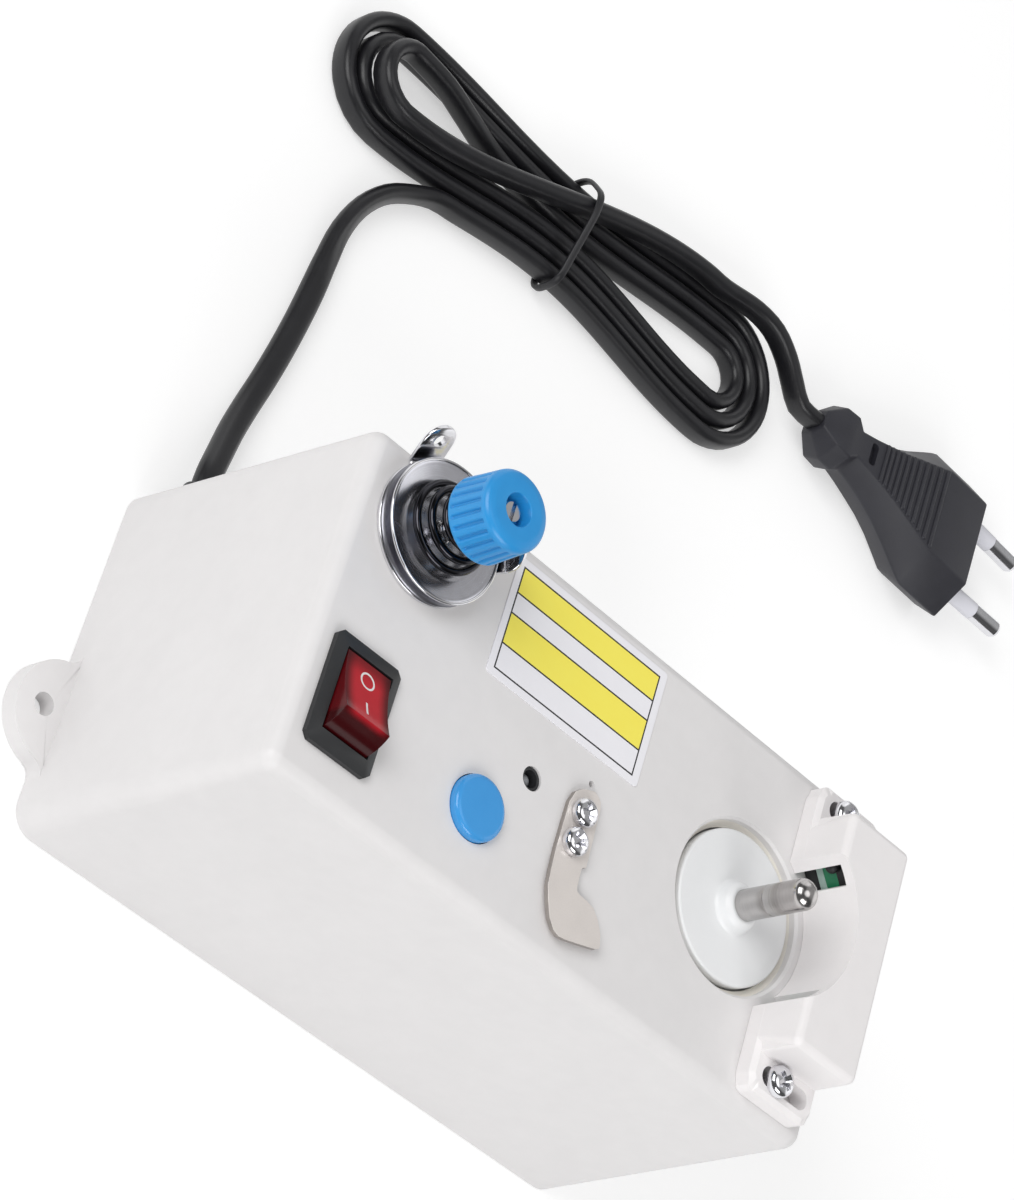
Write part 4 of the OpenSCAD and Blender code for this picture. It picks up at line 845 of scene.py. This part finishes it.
def make_beam_boards():
    """Small boards behind the beam windows, hung from the housing's roof round the beam eyes, with black caps above,
    black strips below that are painted shade for the dark pocket under the boards, and a pale foot between."""
    boards, feet, caps_and_shade_strips = [], [], []
    for side in (1, -1):
        boards.append(carved(beam_strip(side, thick=0.8, low=66.8, high=74.05), beam_hole(side)))
        caps_and_shade_strips.append(carved(beam_strip(side, thick=1.0, low=70.35, high=74.0), beam_hole(side)))
        # Black strip below the board: painted shade where the pocket under the board lies in shadow
        caps_and_shade_strips.append(beam_strip(side, thick=0.8, low=63.2, high=66.1))
        feet.append(beam_strip(side, thick=1.0, low=66.0, high=67.5))
    finish_piece("beam_boards", joined(*boards), "sensor_green", "sensor_slide")
    finish_piece("beam_caps_and_painted_shade", joined(*caps_and_shade_strips), "black_plastic", "sensor_slide")
    finish_piece("beam_board_feet", joined(*feet), "board_foot", "sensor_slide")


# Controls
BEZEL_HALF_X, BEZEL_HALF_Y, BEZEL_TALL = 7.5, 10.5, 2.0
BEZEL_CORNER, CORNER_OUT, RIM_DROP = 2.0, 0.6, 0.9


def bezel_shape():
    """The switch's body, with its bezel sloped down to a thinner rim and its corners cut less."""
    bm = solid_copy("switch_body")
    for v in bm.verts:
        x, y, z = v.co / MM - Vector((*SWITCH, 0))
        on_end, on_side = abs(abs(y) - BEZEL_HALF_Y) < 0.02, abs(abs(x) - BEZEL_HALF_X) < 0.02
        if z > TOP_Z - 0.1 and (on_end or on_side):
            out_x = copysign(CORNER_OUT, x) if on_end and abs(x) > BEZEL_HALF_X - BEZEL_CORNER else 0
            out_y = copysign(CORNER_OUT, y) if on_side and abs(y) > BEZEL_HALF_Y - BEZEL_CORNER else 0
            drop = RIM_DROP if z > TOP_Z + BEZEL_TALL - 0.1 else 0
            ops.translate(bm, verts=[v], vec=point(out_x, out_y, -drop))
    return bm


def make_blade():
    """Thread cutter with nickel flats, its narrow faces darker with painted shade."""
    blade = dressed("thread_blade", "cutter_blade", "blade_nickel", "case", edge=0.2)
    blade.data.materials.append(FINISHES["blade_edge_painted_shade"])
    # Narrow faces take the darker metal, as painted shade along the edges
    for face in blade.data.polygons:
        face.material_index = 1 if abs(face.normal.z) < 0.9 else 0


def make_button():
    """Push button with a broad round shoulder, a collar behind the control face and a stem."""
    r, stem_r, collar_r = 5.83, 1.7, 7.03
    foot, collar_low, collar_high, head = 50.0, 58.95, 60.15, 64.7
    rise, inset = 1.0, 1.15
    profile = [(0, foot), (stem_r, foot), (stem_r, collar_low), (collar_r, collar_low), (collar_r, collar_high),
               (r, collar_high), (r, head - rise)]
    profile += [(r - inset * (1 - cos(a)), head - rise + rise * sin(a)) for a in arc_angles(pi / 2, 10, 1, 10)]
    bm = lathe(profile + [(0, head)], BUTTON, 96)
    finish_piece("push_button", bm, "button_plastic", "button", ("start_button",), sharp=50)


def make_lamp_sleeve():
    """Black sleeve lining the lamp's well: painted shade in the narrow gap round the lamp."""
    bore, wall, foot, seam, top = 1.6, 2.15, 58.0, 60.0, 62.6
    profile = eased([(bore, seam), (bore, foot), (wall, foot), (wall, top), (bore, top), (bore, seam)], 0.15, 3)
    finish_piece("lamp_sleeve", lathe(profile, LAMP, 48), "bezel_plastic", "case")


def make_rocker():
    """Rocker with its off ring and on stroke laid on the dished face."""
    dressed("switch_rocker", "rocker", "rocker_plastic", "switch_rocker", edge=0.3, segments=3)
    radius, half_span, sag = 7.7, radians(54), 0.6
    pivot_z, tilt = 62.8, radians(-20)
    inner, outer, proud, sunk = 1.3, 1.66, 0.03, -0.3
    face, chord = radius * cos(half_span), radius * sin(half_span)
    dish = (chord * chord + sag * sag) / (2 * sag)
    band = [(inner, proud), (outer, proud), (outer, sunk), (inner, sunk), (inner, proud)]
    stroke = bar((0.4, 2.6, proud - sunk), (0, -3.3, (proud + sunk) / 2))
    ops.subdivide_edges(stroke, edges=stroke.edges[:], cuts=3, use_grid_fill=True)
    marks = joined(lathe(band, (0, 2.7), 48), stroke)
    for v in marks.verts:
        u = v.co.y / MM
        ops.translate(marks, verts=[v], vec=point(0, 0, face + dish - sag - sqrt(dish * dish - u * u)))
    lean = Matrix.Translation(point(*SWITCH, pivot_z)) @ Matrix.Rotation(tilt, 4, "X")
    ops.transform(marks, matrix=lean, verts=marks.verts)
    finish_piece("rocker_marks", marks, "mark_paint", "switch_rocker")


# Winder

def make_bobbin_disc():
    """Turning disc with a stepped hub that carries the bobbin."""
    top, r, hub, bore = 62.2, 14.35, 5.1, 2.55
    profile = [(bore, top - 1), (bore, top - 6.2), (hub + 1, top - 6.2), (hub + 1, top - 3.4), (r, top - 3.4),
               (r, top - 0.3), (r - 0.3, top), (hub, top), (hub - 0.4, top + 0.5), (hub - 0.8, top + 1.8),
               (hub - 1.4, top + 2.4), (bore + 0.8, top + 2.6), (bore, top + 2.6), (bore, top - 1)]
    bm = lathe(eased(profile, 0.25), SPINDLE, 128)
    finish_piece("bobbin_disc", bm, "nylon", "winder", ("spindle_disc",), sharp=50)


def make_well_lip():
    """Shallow lip round the well, between the disc and the control face."""
    inner, outer, low = 14.7, 15.95, 59.8
    profile = eased([(inner, 60.2), (inner, low), (outer, low), (outer, 61.3), (15.4, 60.8), (inner, 60.5),
                     (inner, 60.2)], 0.12, 3)
    finish_piece("well_lip", lathe(profile, SPINDLE, 128), "well_plastic", "case")


def make_spindle():
    """Winding spindle with a fine groove and a polished round end."""
    foot, step, groove, dome, tip = 56.0, 64.85, 71.2, 78.3, 80.8
    r, foot_r, groove_r = 2.9, 2.5, 2.85
    profile = eased([(0, foot), (foot_r, foot), (foot_r, step), (r, step), (r, groove), (groove_r, groove + 0.1),
                     (groove_r, groove + 0.3), (r, groove + 0.4), (r, dome)], 0.12, 2)
    profile += [(r * cos(a), dome + (tip - dome) * sin(a)) for a in arc_angles(pi / 2, 10, 1, 9)]
    bm = lathe(profile + [(0, tip)], SPINDLE, 72)
    finish_piece("winding_spindle", bm, "spindle_steel", "winder", ("spindle",), sharp=50)


# Screws: the solids that they stand for, their sizes, and each one's seat and turn
CROSS_SCREWS = {
    "blade_fixing_screws": ("blade_screws", dict(head_d=5.4, head_h=2.0, shank_d=2.8, length=6.5),
                            [((-3.1, -5.2, 64.05), 25), ((-3.35, -11.1, 64.05), 62)]),
    "hood_fixing_screws": ("housing_screws", dict(head_d=6.0, head_h=2.3, shank_d=3.3, length=9.0),
                           [((54.5, 27.2, 67.05), 15), ((54.5, -27.2, 67.05), 48)])}
SCREW_CROWN = [(1.0, 0.16), (0.99, 0.42), (0.94, 0.64), (0.84, 0.8), (0.7, 0.9), (0.5, 0.96), (0.26, 0.99), (0, 1)]


def cross_screw(place, turn, head_d, head_h, shank_d, length):
    """A pan head with a cross recess on a plain shank."""
    x, y, seat = place
    head, shank, foot = head_d / 2, shank_d / 2, seat - length
    profile = [(0, foot), (shank - 0.5, foot), (shank, foot + 0.7), (shank, seat), (head * 0.95, seat)]
    profile += [(head * a, seat + head_h * b) for a, b in SCREW_CROWN]
    cross = [bar((head_d * 0.9, head_d * 0.3, head_h), (x, y, seat + head_h), turn + quarter, taper=0.4)
             for quarter in (0, 90)]
    return carved(lathe(profile, (x, y), 40), *cross)


def make_screws():
    for name, (solid, sizes, seats) in CROSS_SCREWS.items():
        bm = joined(*(cross_screw(place, turn, **sizes) for place, turn in seats))
        finish_piece(name, bm, "screw_chrome", "case", (solid,), sharp=38)


# Tension unit, all about the post: the bore of its pieces, and the guide plate with its tongues
POST_BORE = 2.06
POST_FOOT = point(*POST, 0)
PLATE_MID, PLATE_R = 63.41, 12.6
TONGUE_WIDE, TONGUE_THICK, TONGUE_REACH, TONGUE_BEND, BEND_TAKES = 7.4, 0.78, 13.3, 0.95, 0.9


def guide_tongue(angle, tall, lean, eyelet=None):
    """A strip that runs out from under the discs, bends up, leans out and ends round, some with an eyelet."""
    lean = radians(lean)
    turn = Matrix.Translation(POST_FOOT) @ Matrix.Rotation(radians(angle), 4, "Z")
    half, bend, rounds = TONGUE_WIDE / 2, TONGUE_BEND, 10
    start, out = 10.0, TONGUE_REACH - bend
    route = [(start, PLATE_MID, 0.0), (out, PLATE_MID, 0.0)]
    route += [(out + bend * sin(a), PLATE_MID + bend * (1 - cos(a)), a) for a in arc_angles(pi / 2 - lean, 8, 1, 8)]
    bent_r, bent_z, slope = route[-1]
    way = Vector((cos(slope), 0, sin(slope)))
    across = Vector((0, 1, 0))
    run = tall - BEND_TAKES - half
    for d in [run] + [run + half * sin(a) for a in arc_angles(pi / 2, rounds, 1, rounds)]:
        route.append((bent_r + d * way.x, bent_z + d * way.z, slope))
    frames = []
    for i, (r, z, a) in enumerate(route):
        beyond = max(0.0, i - (len(route) - rounds - 1)) / rounds
        narrow = max(0.06, cos(pi / 2 * beyond))
        here = turned_frame(Vector((r, 0, z)), across, Vector((cos(a), 0, sin(a))))
        frames.append(turn @ here @ Matrix.Diagonal((narrow, 1, 1, 1)))
    strip = swept_tube(frames, TONGUE_WIDE, TONGUE_THICK, 20)
    if eyelet is None:
        return strip
    hole = round_pin(1.2, 3)
    d = eyelet - BEND_TAKES
    place = Matrix.Translation(point(bent_r + d * way.x, 0, bent_z + d * way.z))
    aim = way.cross(across).to_track_quat("Z", "Y").to_matrix().to_4x4()
    ops.transform(hole, verts=hole.verts, matrix=turn @ place @ aim)
    return carved(strip, hole)


def make_guide():
    """Round plate under the discs with an eyelet tongue and a plain one."""
    low, seam, high = TOP_Z, TOP_Z + 0.4, TOP_Z + 0.8
    profile = [(POST_BORE, seam), (POST_BORE, low), (PLATE_R, low), (PLATE_R, high), (POST_BORE, high),
               (POST_BORE, seam)]
    bm = joined(lathe(eased(profile, 0.3), POST, 120), guide_tongue(angle=120, tall=8.1, lean=36, eyelet=5.1),
                guide_tongue(angle=18, tall=7.4, lean=22))
    finish_piece("thread_guide", bm, "plate_chrome", "case", ("guide_plate",), sharp=50)


def make_tension_discs():
    """Two discs dished away from each other, the lower one darker with painted shade, the upper one with a bright bead
    round its rim.
    """
    low = [(POST_BORE, 65.28), (POST_BORE, 64.9), (8.4, 64.9), (11.9, 64.1), (12.5, 63.95), (12.58, 64.15),
           (12.2, 64.5), (8.5, 65.3), (POST_BORE, 65.3), (POST_BORE, 65.28)]
    high = [(POST_BORE, 65.7), (POST_BORE, 65.36), (8.5, 65.36), (12.1, 66.15), (12.55, 66.45), (12.6, 66.68),
            (12.35, 66.7), (11.9, 66.5), (8.4, 65.75), (POST_BORE, 65.75), (POST_BORE, 65.7)]
    bead_r, rim_r, rim_z = 0.3, 12.42, 66.58
    bead = [(rim_r + bead_r * cos(a), rim_z + bead_r * sin(a)) for a in arc_angles(tau, 14, 0, 14)]
    finish_piece("lower_tension_disc", lathe(eased(low, 0.25, 3), POST, 120), "lower_disc_painted_shade", "tension_discs",
                 ("lower_disc",), sharp=50)
    finish_piece("upper_tension_disc", lathe(eased(high, 0.2, 3), POST, 120), "disc_steel", "tension_discs",
                 ("upper_disc",), sharp=50)
    finish_piece("upper_disc_bead", lathe(bead, POST, 120), "plate_chrome", "tension_discs", sharp=60)


def make_spring():
    """Conical spring between the discs and the seat under the knob."""
    big, small, foot, head, turns, wire, steps = 8.5, 3.9, 66.52, 73.25, 3.25, 1.5, 150
    route = []
    for i in range(steps + 1):
        s = i / steps
        r, a = big + (small - big) * s, tau * turns * s
        route.append(Vector((POST[0] + r * cos(a), POST[1] + r * sin(a), foot + (head - foot) * s, 0)))
    bm = swept_tube(frames_along(route), wire, wire, 14)
    coil = finish_piece("cone_spring", bm, "spring_wire", None, ("tension_spring",), sharp=60)
    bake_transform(coil)


def make_post():
    """Threaded post with a collar and a slotted end."""
    r, root, end_r, collar_r, pitch = 1.97, 1.62, 1.7, 4.0, 0.7
    foot, collar_low, collar_high, thread, thread_end, tip = 51.2, 63.85, 64.85, 66.0, 80.6, 82.4
    profile = [(0, foot), (end_r, foot), (r, foot + 0.4), (r, collar_low), (collar_r, collar_low),
               (collar_r, collar_high), (r, collar_high), (r, thread)]
    z = thread
    while z < thread_end:
        profile += [(r, z + 0.1), (root, z + 0.35), (r, z + 0.6)]
        z += pitch
    profile += [(r, tip - 0.4), (end_r, tip), (0, tip)]
    bm = carved(lathe(profile, POST, 48), bar((0.8, 6, 2.4), (*POST, tip)))
    finish_piece("tension_screw", bm, "plate_chrome", "case", ("tension_post",), sharp=40)


# Knob: its foot, its grooves and the steps of each, and its outline from the foot up
KNOB_FOOT, GROOVES, GROOVE_STEPS, SKIRT_R, SKIRT_INSIDE = 74.65, 24, 10, 7.45, 6.5
KNOB_SKIRT = [(POST_BORE, 0.0), (7.25, 0.0), (7.5, 0.12), (7.6, 0.4), (7.59, 0.6), (7.58, 0.75), (7.56, 0.95),
              (SKIRT_R, 2.8), (7.27, 7.1), (7.26, 7.35), (7.25, 7.55), (7.24, 7.75)]
KNOB_CROWN = [(7.24, 7.75), (7.15, 8.3), (6.6, 8.95), (5.4, 9.2), (4.2, 9.2)]
KNOB_WELL = [(4.2, 9.2), (3.0, 9.2), (2.9, 9.05), (2.9, 5.8), (POST_BORE, 5.8), (POST_BORE, 0.0)]
# Depth of a groove at its steps, and the heights between which it takes a share of that depth
GROOVE_DEPTHS = {0: 0.52, 1: 0.46, 9: 0.46, 2: 0.12, 8: 0.12}
GROOVE_RUNS = ((0.7, 0.8, 0.6), (0.9, 7.2, 1.0), (7.3, 7.4, 0.7))


def make_knob():
    """Thumb nut with grooves round its skirt and a well in its top."""
    outline = KNOB_SKIRT + [tuple(p) for p in eased(KNOB_CROWN, 0.35)[1:] + eased(KNOB_WELL, 0.12, 3)[1:]]
    bm = lathe([(r, KNOB_FOOT + z) for r, z in outline], POST, GROOVES * GROOVE_STEPS)
    around = Matrix.Translation(-POST_FOOT)
    for low, high, share in GROOVE_RUNS:
        for step, depth in GROOVE_DEPTHS.items():
            chosen = []
            for v in bm.verts:
                away = v.co - POST_FOOT
                z = v.co.z / MM - KNOB_FOOT
                here = round(atan2(away.y, away.x) / tau * GROOVES * GROOVE_STEPS) % GROOVE_STEPS
                if here == step and low < z < high and away.xy.length > SKIRT_INSIDE * MM:
                    chosen.append(v)
            k = 1 - depth * share / SKIRT_R
            ops.scale(bm, vec=(k, k, 1), space=around, verts=chosen)
    finish_piece("tension_nut", bm, "knob_plastic", "knob", ("tension_knob",), sharp=32)


# Building
photo_camera()
studio_floor()
studio()

hank_tie = make_tie()
mains_plug = make_plug()
strain_relief = dressed("strain_relief", "cord_grommet", "cord_sheath", "case", edge=0.4)
make_cord()
dressed("winder_case", "top_case", "shell_plastic", "case", edge=0.45, shape=case_shape(), fine=ear_seam)
dressed("sensor_hood", "sensor_housing", "hood_plastic", "sensor_slide", edge=0.8, segments=4,
        shape=hood_shape(), fine=window_edge)
make_beam_boards()
dressed("switch_frame", "switch_body", "bezel_plastic", "case", edge=0.3, segments=3,
        shape=bezel_shape())
make_blade()
dressed("band_label", "label_sticker", "label_print", "case", edge=0.04)
make_button()
make_bobbin_disc()
make_well_lip()
make_lamp_sleeve()
make_spindle()
make_screws()
make_rocker()
make_guide()
make_tension_discs()
make_spring()
make_post()
make_knob()

# CAD pieces whose own shape is right take their finish here
CAD_FINISHES = {
    "shell_plastic": ["base_plate"],
    "black_plastic": ["button_switch", "filter_capacitor", "sensor_receiver"],
    "pin_sleeve": ["pin_sleeves"],
    "clear_resin": ["sensor_emitter"],
    "smoked_lens": ["indicator_led"],
    "sensor_green": ["sensor_boards"],
    "board_green": ["control_board", "power_board"],
    "card_grey": ["motor", "transformer"],
    "spindle_steel": ["motor_shaft"],
    "plate_chrome": ["spring_seat"],
    "screw_chrome": ["base_screws", "bracket_screws", "motor_screws", "board_screws", "plug_pins", "post_nut"],
    "zinc_plate": ["motor_bracket"],
    "brass_plate": ["switch_terminals", "power_screws"],
}
for finish, names in CAD_FINISHES.items():
    for name in names:
        mesh = nodes[name].data
        mesh.materials.clear()
        mesh.materials.append(FINISHES[finish])
